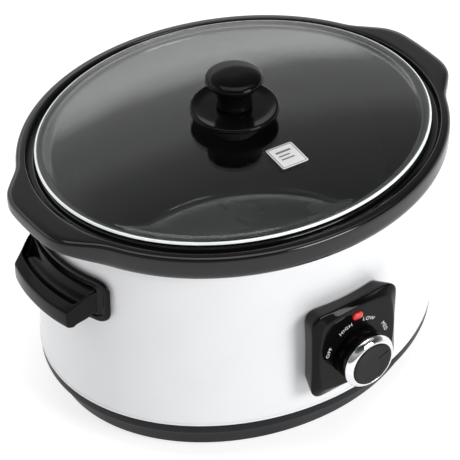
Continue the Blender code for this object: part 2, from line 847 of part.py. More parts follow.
wire("thermal_fuse", [beside_band(118, 0, FUSE_Z), beside_band(112, 0, FUSE_Z)], 0.0018, "zinc", root)
wire("fuse_lead", [beside_band(111.2, 0, FUSE_Z), beside_band(104, 0, FUSE_Z)], 0.0011, "sleeve_white", root)

SIDE_Z = BLOCK_LOW + 0.0060
FRONT_Y = -(SHELL_B - 0.0420)
wire(
    "lead_switch",
    [(-0.0100, 0.0487, SIDE_Z), (-0.0100, 0.0200, SIDE_Z), (-0.0200, FRONT_Y, SIDE_Z)],
    0.0012,
    "sleeve_brown",
    root,
)
wire(
    "lead_element",
    [(0.0100, 0.0487, SIDE_Z), (0.0100, 0.0200, SIDE_Z), (0.0200, FRONT_Y, SIDE_Z)],
    0.0012,
    "sleeve_blue",
    root,
)
wire(
    "lead_supply",
    [
        (0, 0.0633, SIDE_Z),
        (0, SHELL_B - 0.0330, SIDE_Z),
        (0, SHELL_B - 0.0210, SIDE_Z + 0.0060),
        (0, SHELL_B - 0.0130, GLAND_Z - 0.0110),
        (0, SHELL_B - 0.0100, GLAND_Z),
        (0, SHELL_B - 0.0078, GLAND_Z),
    ],
    0.0022,
    "sleeve_white",
    root,
)

# ---- Crock: thick glazed stoneware with a deep rim, a lid ledge and a lifting lug at each end ----


LUG_SHARES = (
    (0, 0.98),
    (5, 1.01),
    (10, 1.085),
    (12, 1.067),
    (15, 0.94),
    (17, 0.72),
    (19, 0.485),
    (21, 0.26),
    (23, 0.06),
    (25, 0),
    (91, 0),
)


def lug(t):
    """Share of the lug's reach at a ring angle: nearly straight across the end, then cut back to the rim."""
    from_end = math.degrees(math.asin(min(1.0, abs(math.sin(t)))))
    for (low, low_share), (high, high_share) in zip(LUG_SHARES, LUG_SHARES[1:]):
        if low <= from_end <= high:
            return low_share + (high_share - low_share) * (from_end - low) / (high - low)
    return 0.0


def rim_row(offset, z, lug_share=1.0, lug_lift=0.0):
    row = []
    for t in ANGLES:
        reach = LUG_REACH * lug(t) * lug_share
        x = (RIM_A + offset) * math.cos(t)
        y = (RIM_B + offset) * math.sin(t)
        row.append((x + math.copysign(reach, x), y, z + lug_lift * lug(t)))
    return row


def lid_row(inset, z):
    return oval(LID_A - inset, LID_B - inset, z)


UNDER_Z = LIP + LINER + GAP
CROCK_LOW = LINER_FLOOR + LINER + 0.0026
SKIRT_Z = SHELL_TOP + 0.0005
WELL_GAP = LINER + 0.0016
crock_rows = [
    wall_row(0.0330 + WELL_GAP, CROCK_LOW),
    wall_row(0.0240 + WELL_GAP, CROCK_LOW + 0.0020),
    wall_row(0.0172 + WELL_GAP, CROCK_LOW + 0.0120),
    wall_row(0.0142 + WELL_GAP, CROCK_LOW + 0.0280),
    wall_row(0.0094 + WELL_GAP, LINER_FLOOR + 0.0670),
    wall_row(0.0028 + WELL_GAP, SHELL_TOP - 0.0060),
    wall_row(0.0026 + WELL_GAP, UNDER_Z),
    rim_row(-0.0056, UNDER_Z + 0.0004, 0.0),
    rim_row(-0.0052, SKIRT_Z + 0.0006, 0.92, 0.0060),
    rim_row(-0.0036, SKIRT_Z, 0.97, 0.0062),
    rim_row(-0.0016, SKIRT_Z + 0.0012, 1.0, 0.0060),
    rim_row(0, SKIRT_Z + 0.0050, 1.0, 0.0030),
    rim_row(0, RIM_Z - 0.0042),
    rim_row(-0.0004, RIM_Z - 0.0018),
    rim_row(-0.0018, RIM_Z - 0.0006, 0.96),
    rim_row(-0.0044, RIM_Z - 0.0001, 0.60),
    rim_row(-0.0066, RIM_Z, 0.0),
    rim_row(-0.0075, RIM_Z - 0.0007, 0.0),
    rim_row(-0.0080, CHANNEL_Z + 0.0012, 0.0),
    rim_row(-0.0092, CHANNEL_Z, 0.0),
    rim_row(-0.0128, CHANNEL_Z, 0.0),
    rim_row(-0.0140, CHANNEL_Z + 0.0012, 0.0),
    rim_row(-0.0144, LEDGE_Z, 0.0),
    lid_row(0.0070, LEDGE_Z),
    lid_row(0.0084, LEDGE_Z - 0.0014),
    wall_row(0.0104 + WELL_GAP, SHELL_TOP - 0.0060),
    wall_row(0.0172 + WELL_GAP, LINER_FLOOR + 0.0670),
    wall_row(0.0230 + WELL_GAP, CROCK_LOW + 0.0290),
    wall_row(0.0270 + WELL_GAP, CROCK_LOW + CROCK_FLOOR + 0.0080),
    wall_row(0.0330 + WELL_GAP, CROCK_LOW + CROCK_FLOOR + 0.0020),
    wall_row(0.0400 + WELL_GAP, CROCK_LOW + CROCK_FLOOR),
]
loft("crock", crock_rows, "black_glaze", crock_frame, ring=False)

# ---- Lid: clear tempered glass with a rolled edge and a shallow dome, bored for the grip's screw ----
EDGE_TOP = LID_Z + LID_EDGE


def dome_row(share, z):
    return oval(LID_A * share, LID_B * share, z)


def circle_row(radius, z):
    return oval(radius, radius, z)


DOME = ((0.35, 0.0009), (0.58, 0.0025), (0.78, 0.0046), (0.90, 0.0064))
SEAT = GUARD_RADIUS * 0.63
BORE_LID = 0.0032
lid_rows = [circle_row(BORE_LID, DOME_Z), circle_row(SEAT, DOME_Z)]
lid_rows += [dome_row(share, DOME_Z - fall) for share, fall in DOME]
lid_rows += [
    lid_row(0.0060, EDGE_TOP - 0.0003),
    lid_row(0.0026, EDGE_TOP),
    lid_row(0.0006, EDGE_TOP - 0.0006),
    lid_row(0, EDGE_TOP - 0.0020),
    lid_row(0.0002, LID_Z + 0.0014),
    lid_row(0.0018, LID_Z),
    lid_row(0.0060, LID_Z),
    lid_row(0.0110, LID_Z + 0.0010),
]
lid_rows += [dome_row(share - 0.012, DOME_Z - fall - LID_GLASS) for share, fall in reversed(DOME)]
lid_rows += [circle_row(SEAT, DOME_Z - LID_GLASS), circle_row(BORE_LID, DOME_Z - LID_GLASS)]
loft("lid_glass", lid_rows, "clear_glass", lid_frame)

# ---- Heat guard and grip on top of the lid ----
GUARD_LOW = DOME_Z + GAP
GUARD_DISC = GUARD_LOW + 0.0062
turned(
    "lid_guard",
    [
        (0.0200, GUARD_DISC + 0.0036),
        (GUARD_RADIUS - 0.0030, GUARD_DISC + 0.0044),
        (GUARD_RADIUS - 0.0012, GUARD_DISC + 0.0044),
        (GUARD_RADIUS, GUARD_DISC + 0.0030),
        (GUARD_RADIUS, GUARD_DISC + 0.0010),
        (GUARD_RADIUS - 0.0012, GUARD_DISC),
        (0.0192, GUARD_DISC),
        (0.0188, GUARD_LOW),
        (BORE, GUARD_LOW),
        (BORE, GUARD_DISC + 0.0036),
    ],
    "black_gloss",
    lid_frame,
    steps=26,
    closed=True,
)
GRIP_LOW = GUARD_DISC + 0.0036 + GAP
turned(
    "lid_grip",
    [
        (0, GRIP_LOW + GRIP_HEIGHT),
        (GRIP_RADIUS * 0.62, GRIP_LOW + GRIP_HEIGHT - 0.0006),
        (GRIP_RADIUS * 0.92, GRIP_LOW + GRIP_HEIGHT - 0.0022),
        (GRIP_RADIUS, GRIP_LOW + GRIP_HEIGHT - 0.0046),
        (GRIP_RADIUS * 0.97, GRIP_LOW + GRIP_HEIGHT - 0.0072),
        (GRIP_RADIUS * 0.76, GRIP_LOW + GRIP_HEIGHT - 0.0120),
        (GRIP_RADIUS * 0.62, GRIP_LOW + GRIP_HEIGHT - 0.0170),
        (GRIP_RADIUS * 0.58, GRIP_LOW + GRIP_HEIGHT - 0.0215),
        (GRIP_RADIUS * 0.62, GRIP_LOW + 0.0040),
        (GRIP_RADIUS * 0.60, GRIP_LOW + 0.0014),
        (GRIP_RADIUS * 0.50, GRIP_LOW),
        (BORE, GRIP_LOW),
        (BORE, GRIP_LOW + 0.0150),
        (0, GRIP_LOW + 0.0150),
    ],
    "black_gloss",
    lid_frame,
    steps=26,
)

# ---- Seal, washer and screw under the glass ----
SEAL_HIGH = DOME_Z - LID_GLASS - GAP
WASHER_HIGH = SEAL_HIGH - 0.0012 - GAP
turned(
    "lid_seal",
    [(0.0182, SEAL_HIGH), (0.0182, SEAL_HIGH - 0.0012), (BORE, SEAL_HIGH - 0.0012), (BORE, SEAL_HIGH)],
    "silicone",
    lid_frame,
    closed=True,
)
turned(
    "lid_washer",
    [
        (0.0186, WASHER_HIGH),
        (0.0186, WASHER_HIGH - 0.0042),
        (0.0172, WASHER_HIGH - 0.0056),
        (0.0090, WASHER_HIGH - 0.0056),
        (0.0080, WASHER_HIGH - 0.0030),
        (BORE, WASHER_HIGH - 0.0030),
        (BORE, WASHER_HIGH),
    ],
    "black_matt",
    lid_frame,
    closed=True,
)
HEAD_HIGH = WASHER_HIGH - 0.0030 - GAP
turned(
    "lid_screw",
    [
        (0, GRIP_LOW + 0.0120),
        (SHANK, GRIP_LOW + 0.0120),
        (SHANK, HEAD_HIGH),
        (0.0046, HEAD_HIGH),
        (0.0040, HEAD_HIGH - 0.0022),
        (0, HEAD_HIGH - 0.0022),
    ],
    "zinc",
    lid_frame,
    steps=20,
)

# ---- Label: a small plate lying on the dome in front of the grip ----
LABEL_Y = -0.455 * LID_B
LABEL_Z = DOME_Z - 0.0012
label = box("lid_label", (0.0230, 0.0240, 0.0003), (0.0034, LABEL_Y, LABEL_Z), "label", lid_frame)
label.rotation_euler = (0.050, 0, math.radians(-4))
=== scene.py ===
import math

import bmesh
import bpy
from mathutils import Matrix, Vector


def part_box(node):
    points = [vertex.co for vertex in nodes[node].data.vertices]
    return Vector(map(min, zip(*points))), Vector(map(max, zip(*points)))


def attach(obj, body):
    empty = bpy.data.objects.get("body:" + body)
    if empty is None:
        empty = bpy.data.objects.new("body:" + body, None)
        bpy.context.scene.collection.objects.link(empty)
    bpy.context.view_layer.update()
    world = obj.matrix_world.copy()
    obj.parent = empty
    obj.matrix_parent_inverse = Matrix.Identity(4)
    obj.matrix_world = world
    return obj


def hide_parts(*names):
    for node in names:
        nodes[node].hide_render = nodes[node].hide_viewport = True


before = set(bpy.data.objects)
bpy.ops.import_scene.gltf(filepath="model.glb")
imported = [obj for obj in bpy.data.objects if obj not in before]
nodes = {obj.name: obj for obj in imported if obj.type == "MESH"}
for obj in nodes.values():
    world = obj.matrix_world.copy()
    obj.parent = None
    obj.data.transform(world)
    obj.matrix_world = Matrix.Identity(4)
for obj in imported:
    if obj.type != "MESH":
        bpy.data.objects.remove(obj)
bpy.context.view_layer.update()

# ---- Camera ----
# A long lens a little over head height for a worktop, to the left of the control panel.
# The cooker's oval is centred behind the origin, so the aim point is set from the wall's own box.

wall_low, wall_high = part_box("outer_shell")
CENTRE_Y = (wall_low[1] + wall_high[1]) / 2
AIM = Vector((0.0034, CENTRE_Y + 0.0130, 0.0900))
AZIMUTH = math.radians(-35.18)
ELEVATION = math.radians(38.66)
ROLL = math.radians(-0.99)
DISTANCE = 1.8
SENSOR = 36
LENS = 2342.4 / 460 * SENSOR
outward = math.cos(ELEVATION)
back = Vector((math.sin(AZIMUTH) * outward, -math.cos(AZIMUTH) * outward, math.sin(ELEVATION)))
level = Vector((0, 0, 1)).cross(back).normalized()
upright = back.cross(level)
right = math.cos(ROLL) * level + math.sin(ROLL) * upright
up = -math.sin(ROLL) * level + math.cos(ROLL) * upright
camera_data = bpy.data.cameras.new("camera")
camera_data.lens = LENS
camera_data.sensor_width = SENSOR
camera_data.clip_end = 50
camera = bpy.data.objects.new("camera", camera_data)
place = AIM + DISTANCE * back
camera.matrix_world = Matrix(
    (
        (right.x, up.x, back.x, place.x),
        (right.y, up.y, back.y, place.y),
        (right.z, up.z, back.z, place.z),
        (0, 0, 0, 1),
    )
)
bpy.context.scene.collection.objects.link(camera)
bpy.context.scene.camera = camera
bpy.context.scene.view_settings.view_transform = "Standard"

# ---- Table, daylight and soft boxes ----
# A seamless pale sheet under the cooker, lit evenly from below.  The room is
# brightest low down behind the cooker and dark above, with soft boxes front right, behind left and above.


def material(name):
    made = bpy.data.materials.new(name)
    made.use_nodes = True
    return made, made.node_tree.nodes, made.node_tree.links, made.node_tree.nodes["Principled BSDF"]


floor_mesh = bpy.data.meshes.new("floor")
floor_mesh.from_pydata([(-6, -6, 0), (6, -6, 0), (6, 6, 0), (-6, 6, 0)], [], [(0, 1, 2, 3)])
floor = bpy.data.objects.new("floor", floor_mesh)
bpy.context.scene.collection.objects.link(floor)
sheet_white, n, link, shader = material("pale_sheet")
grain = n.new("ShaderNodeTexNoise")
grain.inputs["Scale"].default_value = 3.0
tone = n.new("ShaderNodeMapRange")
tone.inputs["To Min"].default_value = 0.50
tone.inputs["To Max"].default_value = 0.52
link.new(grain.outputs["Fac"], tone.inputs["Value"])
link.new(tone.outputs["Result"], shader.inputs["Base Color"])
shader.inputs["Roughness"].default_value = 0.9
shader.inputs["Specular IOR Level"].default_value = 0.1
shader.inputs["Emission Color"].default_value = (1.0, 1.0, 1.0, 1)
shader.inputs["Emission Strength"].default_value = 0.74
floor_mesh.materials.append(sheet_white)

world = bpy.data.worlds.new("room")
world.use_nodes = True
bpy.context.scene.world = world
n = world.node_tree.nodes
link = world.node_tree.links
room = n["Background"]
direction = n.new("ShaderNodeTexCoord")
slant = n.new("ShaderNodeVectorMath")
slant.operation = "DOT_PRODUCT"
slant.inputs[1].default_value = (0.30, -0.21, 1.0)
height = n.new("ShaderNodeValToRGB")
glow = height.color_ramp
glow.elements[0].position = 0.10
glow.elements[0].color = (0.30, 0.30, 0.30, 1)
glow.elements[1].position = 0.99
glow.elements[1].color = (0.30, 0.30, 0.30, 1)
for share, level_of_light in (
    (0.34, 0.50),
    (0.43, 0.66),
    (0.465, 0.54),
    (0.50, 0.24),
    (0.54, 0.20),
    (0.59, 0.19),
    (0.64, 0.11),
    (0.70, 0.080),
    (0.93, 0.040),
):
    step = glow.elements.new(share)
    step.color = (level_of_light, level_of_light, level_of_light, 1)
link.new(direction.outputs["Generated"], slant.inputs[0])
link.new(slant.outputs["Value"], height.inputs["Fac"])
behind = n.new("ShaderNodeVectorMath")
behind.operation = "DOT_PRODUCT"
behind.inputs[1].default_value = (0.40, 0.92, 0.0)
fading = n.new("ShaderNodeMapRange")
fading.inputs["From Min"].default_value = -0.35
fading.inputs["From Max"].default_value = 0.35
fading.inputs["To Min"].default_value = 0.30
fading.inputs["To Max"].default_value = 1.0
faded = n.new("ShaderNodeMixRGB")
faded.blend_type = "MULTIPLY"
faded.inputs["Fac"].default_value = 1.0
link.new(direction.outputs["Generated"], behind.inputs[0])
link.new(behind.outputs["Value"], fading.inputs["Value"])
link.new(height.outputs["Color"], faded.inputs["Color1"])
link.new(fading.outputs["Result"], faded.inputs["Color2"])
link.new(faded.outputs["Color"], room.inputs["Color"])
room.inputs["Strength"].default_value = 2.9


def soft_box(name, place, size, energy):
    data = bpy.data.lights.new(name, "AREA")
    data.shape = "RECTANGLE"
    data.size, data.size_y = size
    data.energy = energy
    lamp = bpy.data.objects.new(name, data)
    lamp.location = place
    aim = Vector((0, CENTRE_Y, 0.10)) - Vector(place)
    lamp.rotation_euler = aim.to_track_quat("-Z", "Y").to_euler()
    bpy.context.scene.collection.objects.link(lamp)
    return lamp


soft_box("box_front_right", (0.55, -1.85, 1.00), (0.9, 0.9), 29)
soft_box("box_back_left", (-1.3, 1.3, 1.3), (1.2, 0.8), 1.5)
soft_box("box_above", (0.1, 0.1, 2.1), (1.6, 1.2), 12)

# ---- Outer wall ----
# Deep-drawn steel sheet, stove-enamelled gloss white, with a rolled bead under the crock's rim.
# A hem at the foot tucks over the base, and the whole wall leans in a little towards the top.

WALL_A = (wall_high[0] - wall_low[0]) / 2 - 0.0006
WALL_B = (wall_high[1] - wall_low[1]) / 2 - 0.0006
WALL_FOOT = wall_low[2] - 0.0002
WALL_TOP = wall_high[2]
WALL_TAPER = 0.0031
RING = 112


def lean(z):
    """How far in the wall has leaned at a height."""
    return WALL_TAPER * (z - WALL_FOOT) / (WALL_TOP - WALL_FOOT)


def oval(a, b, z, count=RING):
    turn = 2 * math.pi / count
    return [(a * math.cos(i * turn), CENTRE_Y + b * math.sin(i * turn), z) for i in range(count)]


def wall_row(inset, z):
    return oval(WALL_A - lean(z) - inset, WALL_B - lean(z) - inset, z)


def piece(name, mesh, body, replaces=(), smooth=2):
    """Places a finished mesh, smoothed, on the body that carries it."""
    work = bmesh.new()
    work.from_mesh(mesh)
    bmesh.ops.recalc_face_normals(work, faces=work.faces)
    work.to_mesh(mesh)
    work.free()
    mesh.polygons.foreach_set("use_smooth", [True] * len(mesh.polygons))
    made = bpy.data.objects.new(name, mesh)
    bpy.context.scene.collection.objects.link(made)
    if smooth:
        rounding = made.modifiers.new("rounding", "SUBSURF")
        rounding.levels = smooth
        rounding.render_levels = smooth
    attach(made, body)
    if replaces:
        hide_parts(*replaces)
    return made


def skin(name, rows, ring=True):
    """A mesh skinned over rows of equal length: closed on itself, or capped at both ends."""
    count = len(rows[0])
    points = [point for row in rows for point in row]
    faces = []
    for i in range(len(rows) if ring else len(rows) - 1):
        a = i * count
        b = (i + 1) % len(rows) * count
        for j in range(count):
            k = (j + 1) % count
            faces.append((a + j, a + k, b + k, b + j))
    if not ring:
        faces.append(tuple(range(count)))
        faces.append(tuple(reversed(range(len(points) - count, len(points)))))
    mesh = bpy.data.meshes.new(name)
    mesh.from_pydata(points, [], faces)
    return mesh


def value_group(name, inputs, outputs):
    """An empty shader group with named number inputs and number outputs."""
    group = bpy.data.node_groups.new(name, "ShaderNodeTree")
    for socket, default in inputs:
        made = group.interface.new_socket(name=socket, in_out="INPUT", socket_type="NodeSocketFloat")
        made.default_value = default
    for socket in outputs:
        group.interface.new_socket(name=socket, in_out="OUTPUT", socket_type="NodeSocketFloat")
    return group, group.nodes.new("NodeGroupInput"), group.nodes.new("NodeGroupOutput")


# Fingermarks and dust: a soft mask, patchy at hand size and speckled finely.
scales = (("Patch Scale", 18.0), ("Speck Scale", 700.0))
handled, inside, outside = value_group("handled", scales, ("Smear", "Speck"))
where = handled.nodes.new("ShaderNodeTexCoord")
patch = handled.nodes.new("ShaderNodeTexNoise")
patch.inputs["Detail"].default_value = 5.0
patch.inputs["Distortion"].default_value = 0.6
speck = handled.nodes.new("ShaderNodeTexVoronoi")
smear = handled.nodes.new("ShaderNodeMapRange")
smear.inputs["From Min"].default_value = 0.42
smear.inputs["From Max"].default_value = 0.72
dot = handled.nodes.new("ShaderNodeMapRange")
dot.inputs["From Min"].default_value = 0.16
dot.inputs["From Max"].default_value = 0.05
handled.links.new(where.outputs["Object"], patch.inputs["Vector"])
handled.links.new(where.outputs["Object"], speck.inputs["Vector"])
handled.links.new(inside.outputs["Patch Scale"], patch.inputs["Scale"])
handled.links.new(inside.outputs["Speck Scale"], speck.inputs["Scale"])
handled.links.new(patch.outputs["Fac"], smear.inputs["Value"])
handled.links.new(speck.outputs["Distance"], dot.inputs["Value"])
handled.links.new(smear.outputs["Result"], outside.inputs["Smear"])
handled.links.new(dot.outputs["Result"], outside.inputs["Speck"])

# Skin texture: fine and coarse height, for orange peel, moulding grain and cast surfaces.
scales = (("Fine Scale", 1200.0), ("Broad Scale", 60.0))
texture, inside, outside = value_group("skin_texture", scales, ("Fine", "Broad"))
where = texture.nodes.new("ShaderNodeTexCoord")
fine = texture.nodes.new("ShaderNodeTexNoise")
fine.inputs["Detail"].default_value = 3.0
broad = texture.nodes.new("ShaderNodeTexNoise")
broad.inputs["Detail"].default_value = 1.5
texture.links.new(where.outputs["Object"], fine.inputs["Vector"])
texture.links.new(where.outputs["Object"], broad.inputs["Vector"])
texture.links.new(inside.outputs["Fine Scale"], fine.inputs["Scale"])
texture.links.new(inside.outputs["Broad Scale"], broad.inputs["Scale"])
texture.links.new(fine.outputs["Fac"], outside.inputs["Fine"])
texture.links.new(broad.outputs["Fac"], outside.inputs["Broad"])


def use_group(nodes_of, group, **values):
    used = nodes_of.new("ShaderNodeGroup")
    used.node_tree = group
    for socket, value in values.items():
        used.inputs[socket.replace("_", " ")].default_value = value
    return used


def between(n, link, source, low, high, target):
    """Feeds a socket with a value that runs from low to high as the source runs from 0 to 1."""
    spread = n.new("ShaderNodeMapRange")
    spread.inputs["To Min"].default_value = low
    spread.inputs["To Max"].default_value = high
    link.new(source, spread.inputs["Value"])
    link.new(spread.outputs["Result"], target)


def tint(n, link, source, low, high, shader):
    """Runs the base colour from low to high as the source runs from 0 to 1."""
    ramp = n.new("ShaderNodeValToRGB")
    ramp.color_ramp.elements[0].color = (*low, 1)
    ramp.color_ramp.elements[1].color = (*high, 1)
    link.new(source, ramp.inputs["Fac"])
    link.new(ramp.outputs["Color"], shader.inputs["Base Color"])


def relief(n, link, source, shader, strength, distance, below=None):
    bump = n.new("ShaderNodeBump")
    bump.inputs["Strength"].default_value = strength
    bump.inputs["Distance"].default_value = distance
    link.new(source, bump.inputs["Height"])
    if below:
        link.new(below.outputs["Normal"], bump.inputs["Normal"])
    link.new(bump.outputs["Normal"], shader.inputs["Normal"])
    return bump


enamel, n, link, shader = material("white_enamel")
marks = use_group(n, handled, Patch_Scale=14.0, Speck_Scale=500.0)
peel = use_group(n, texture, Fine_Scale=900.0, Broad_Scale=35.0)
tint(n, link, peel.outputs["Broad"], (0.74, 0.745, 0.76), (0.79, 0.795, 0.81), shader)
between(n, link, marks.outputs["Smear"], 0.30, 0.38, shader.inputs["Roughness"])
waves = relief(n, link, peel.outputs["Broad"], shader, 0.05, 0.0010)
relief(n, link, peel.outputs["Fine"], shader, 0.06, 0.0002, waves)
shader.inputs["Coat Weight"].default_value = 0.25
shader.inputs["Coat Roughness"].default_value = 0.12

wall_profile = (
    (-0.0001, WALL_FOOT + 0.0002),
    (-0.0006, WALL_FOOT + 0.0005),
    (-0.0006, WALL_FOOT + 0.0019),
    (-0.0003, WALL_FOOT + 0.0025),
    (0, WALL_FOOT + 0.0030),
    (0, WALL_FOOT + 0.0050),
    (0, WALL_FOOT + 0.0500),
    (0, WALL_TOP - 0.0500),
    (0, WALL_TOP - 0.0050),
    (0, WALL_TOP - 0.0034),
    (-0.0005, WALL_TOP - 0.0026),
    (-0.0007, WALL_TOP - 0.0014),
    (-0.0005, WALL_TOP - 0.0004),
    (0.0002, WALL_TOP),
    (0.0012, WALL_TOP),
    (0.0014, WALL_TOP - 0.0008),
    (0.0010, WALL_TOP - 0.0030),
    (0.0010, WALL_FOOT + 0.0020),
    (0.0010, WALL_FOOT + 0.0002),
)
wall = piece("wall", skin("wall", [wall_row(*step) for step in wall_profile]), "housing", ["outer_shell"])
wall.data.materials.append(enamel)

# ---- Base ring ----
# One moulding in satin charcoal plastic: an upper band flush with the wall, then a step in to a
# lower band that leans under.  A flange inside carries the bottom plate and the four feet.

base_low, base_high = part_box("base_ring")
BASE_A = (base_high[0] - base_low[0]) / 2
BASE_B = (base_high[1] - base_low[1]) / 2
BASE_FOOT = base_low[2]
BASE_TOP = WALL_FOOT - 0.0003


def base_row(inset, z):
    return oval(BASE_A - inset, BASE_B - inset, z)


charcoal, n, link, shader = material("charcoal_moulding")
marks = use_group(n, handled, Patch_Scale=22.0, Speck_Scale=900.0)
peel = use_group(n, texture, Fine_Scale=2600.0, Broad_Scale=90.0)
tint(n, link, peel.outputs["Broad"], (0.0065, 0.0072, 0.0088), (0.0095, 0.0102, 0.0122), shader)
between(n, link, marks.outputs["Smear"], 0.36, 0.48, shader.inputs["Roughness"])
relief(n, link, peel.outputs["Fine"], shader, 0.16, 0.0002)
shader.inputs["Specular IOR Level"].default_value = 0.16

base_profile = (
    (0.0002, BASE_TOP),
    (0, BASE_TOP - 0.0004),
    (0, BASE_TOP - 0.0066),
    (0.0003, BASE_TOP - 0.0073),
    (0.0012, BASE_TOP - 0.0077),
    (0.0050, BASE_TOP - 0.0084),
    (0.0058, BASE_TOP - 0.0088),
    (0.0061, BASE_TOP - 0.0096),
    (0.0080, BASE_FOOT + 0.0100),
    (0.0098, BASE_FOOT + 0.0024),
    (0.0102, BASE_FOOT + 0.0008),
    (0.0112, BASE_FOOT),
    (0.0124, BASE_FOOT),
    (0.0326, BASE_FOOT),
    (0.0330, BASE_FOOT + 0.0003),
    (0.0330, BASE_FOOT + 0.0020),
    (0.0326, BASE_FOOT + 0.0022),
    (0.0142, BASE_FOOT + 0.0022),
    (0.0136, BASE_FOOT + 0.0028),
    (0.0092, BASE_TOP - 0.0100),
    (0.0040, BASE_TOP - 0.0050),
    (0.0038, BASE_TOP + 0.0050),
    (0.0036, BASE_TOP + 0.0056),
    (0.0020, BASE_TOP + 0.0056),
    (0.0018, BASE_TOP + 0.0050),
    (0.0018, BASE_TOP + 0.0004),
    (0.0016, BASE_TOP),
)
base_mesh = skin("base_moulding", [base_row(*step) for step in base_profile])
base = piece("base_moulding", base_mesh, "housing", ["base_ring"])
base.data.materials.append(charcoal)

# ---- Feet ----
# Four moulded rubber pads with a turned-in lip, each held up into the base's flange by one screw.
# The screw heads sit well above the table inside the pads.


def turned(name, profile, centre, count=64, ring=False):
    """A body of revolution about a vertical line, its profile of (radius, height) running down outside."""
    x, y, z = centre
    rows = []
    for r, h in profile:
        turn = 2 * math.pi / count
        rows.append([(x + r * math.cos(i * turn), y + r * math.sin(i * turn), z + h) for i in range(count)])
    return skin(name, rows, ring)


rubber, n, link, shader = material("foot_rubber")
marks = use_group(n, handled, Patch_Scale=120.0, Speck_Scale=1500.0)
peel = use_group(n, texture, Fine_Scale=3000.0, Broad_Scale=260.0)
tint(n, link, marks.outputs["Speck"], (0.012, 0.012, 0.013), (0.05, 0.05, 0.05), shader)
between(n, link, marks.outputs["Smear"], 0.62, 0.82, shader.inputs["Roughness"])
relief(n, link, peel.outputs["Fine"], shader, 0.35, 0.0002)

for index in range(1, 5):
    low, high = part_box(f"foot_{index}")
    centre = ((low[0] + high[0]) / 2, (low[1] + high[1]) / 2, 0)
    r = (high[0] - low[0]) / 2
    profile = [
        (r - 0.0004, high[2]),
        (r, high[2] - 0.0004),
        (r - 0.0002, 0.0012),
        (r - 0.0006, 0.0003),
        (r - 0.0012, 0),
        (0.0052, 0),
        (0.0047, 0.0004),
        (0.0046, 0.0020),
        (0.0044, 0.0022),
        (0.0022, 0.0022),
        (0.0020, 0.0024),
        (0.0020, high[2]),
    ]
    pad = turned(f"foot_pad_{index}", profile, centre, 40, True)
    foot = piece(f"foot_pad_{index}", pad, "housing", [f"foot_{index}"], 1)
    foot.data.materials.append(rubber)

# ---- Side handles ----
# Gloss black mouldings screwed on from inside the wall.  A flange follows the wall's curve in front, but
# its back is one face straight across, which cuts through the wall and the well behind.  The grip
# slopes out of it with a dished top, a rounded lip and a finger hollow underneath.

GLOSS_DARK = (0.0028, 0.0027, 0.0031)
GLOSS_LIGHT = (0.0048, 0.0046, 0.0052)
gloss, n, link, shader = material("gloss_black_moulding")
marks = use_group(n, handled, Patch_Scale=26.0, Speck_Scale=620.0)
peel = use_group(n, texture, Fine_Scale=700.0, Broad_Scale=85.0)
tint(n, link, marks.outputs["Smear"], GLOSS_DARK, GLOSS_LIGHT, shader)
between(n, link, marks.outputs["Smear"], 0.055, 0.13, shader.inputs["Roughness"])
relief(n, link, peel.outputs["Broad"], shader, 0.05, 0.0004)
shader.inputs["Specular IOR Level"].default_value = 0.12

FLANGE_HALF = 0.0530
FLANGE_HALF_HIGH = 0.0185
FLANGE_DEEP = 0.0044
FLANGE_FACE = FLANGE_DEEP - 0.0008
FLANGE_CORNER = 0.0100
GRIP_HALF = 0.0350
GRIP_REACH = 0.0190
GRIP_RISE = 0.0088
GRIP_CORE = -0.0160
FLANGE_STEPS = (
    (0, 0.0003),
    (0, 0.0034),
    (0.0003, 0.0041),
    (0.0010, FLANGE_DEEP),
    (0.0036, FLANGE_DEEP),
    (0.0040, FLANGE_DEEP - 0.0001),
    (0.0044, FLANGE_DEEP - 0.0007),
    (0.0048, FLANGE_FACE),
    (0.0080, FLANGE_FACE),
    (0.0080, FLANGE_FACE, 0.70),
    (0.0080, FLANGE_FACE, 0.35),
    (0.0080, FLANGE_FACE, 0.05),
)


def join(name, meshes):
    """One mesh holding several shells that are moulded as one."""
    work = bmesh.new()
    for part in meshes:
        work.from_mesh(part)
    mesh = bpy.data.meshes.new(name)
    work.to_mesh(mesh)
    work.free()
    return mesh


def flange_row(side, middle, half_high, inset, off, squeeze=1.0):
    """The flange's rounded outline, inset and lifted off the wall's curve."""
    row = []
    corners = ((1, 1, 0), (-1, 1, 90), (-1, -1, 180), (1, -1, 270))
    for sy, sz, start in corners:
        for step in range(9):
            t = math.radians(start + 11.25 * step)
            y = sy * (FLANGE_HALF - FLANGE_CORNER) + FLANGE_CORNER * math.cos(t)
            z = sz * (half_high - FLANGE_CORNER) + FLANGE_CORNER * math.sin(t)
            y *= (FLANGE_HALF - inset) / FLANGE_HALF * squeeze
            z = middle + z * (half_high - inset) / half_high * squeeze
            row.append((y, z))
        if sz * sy > 0:
            ends = (sy * (FLANGE_HALF - FLANGE_CORNER), sz * half_high)
            for step in range(1, 12):
                y = ends[0] * (1 - step / 6)
                y *= (FLANGE_HALF - inset) / FLANGE_HALF * squeeze
                z = middle + ends[1] * (half_high - inset) / half_high * squeeze
                row.append((y, z))
    points = []
    for y, z in row:
        a = WALL_A - lean(z) + off
        b = WALL_B - lean(z) + off
        points.append((side * a * math.sqrt(1 - (y / b) ** 2), CENTRE_Y + y, z))
    return points


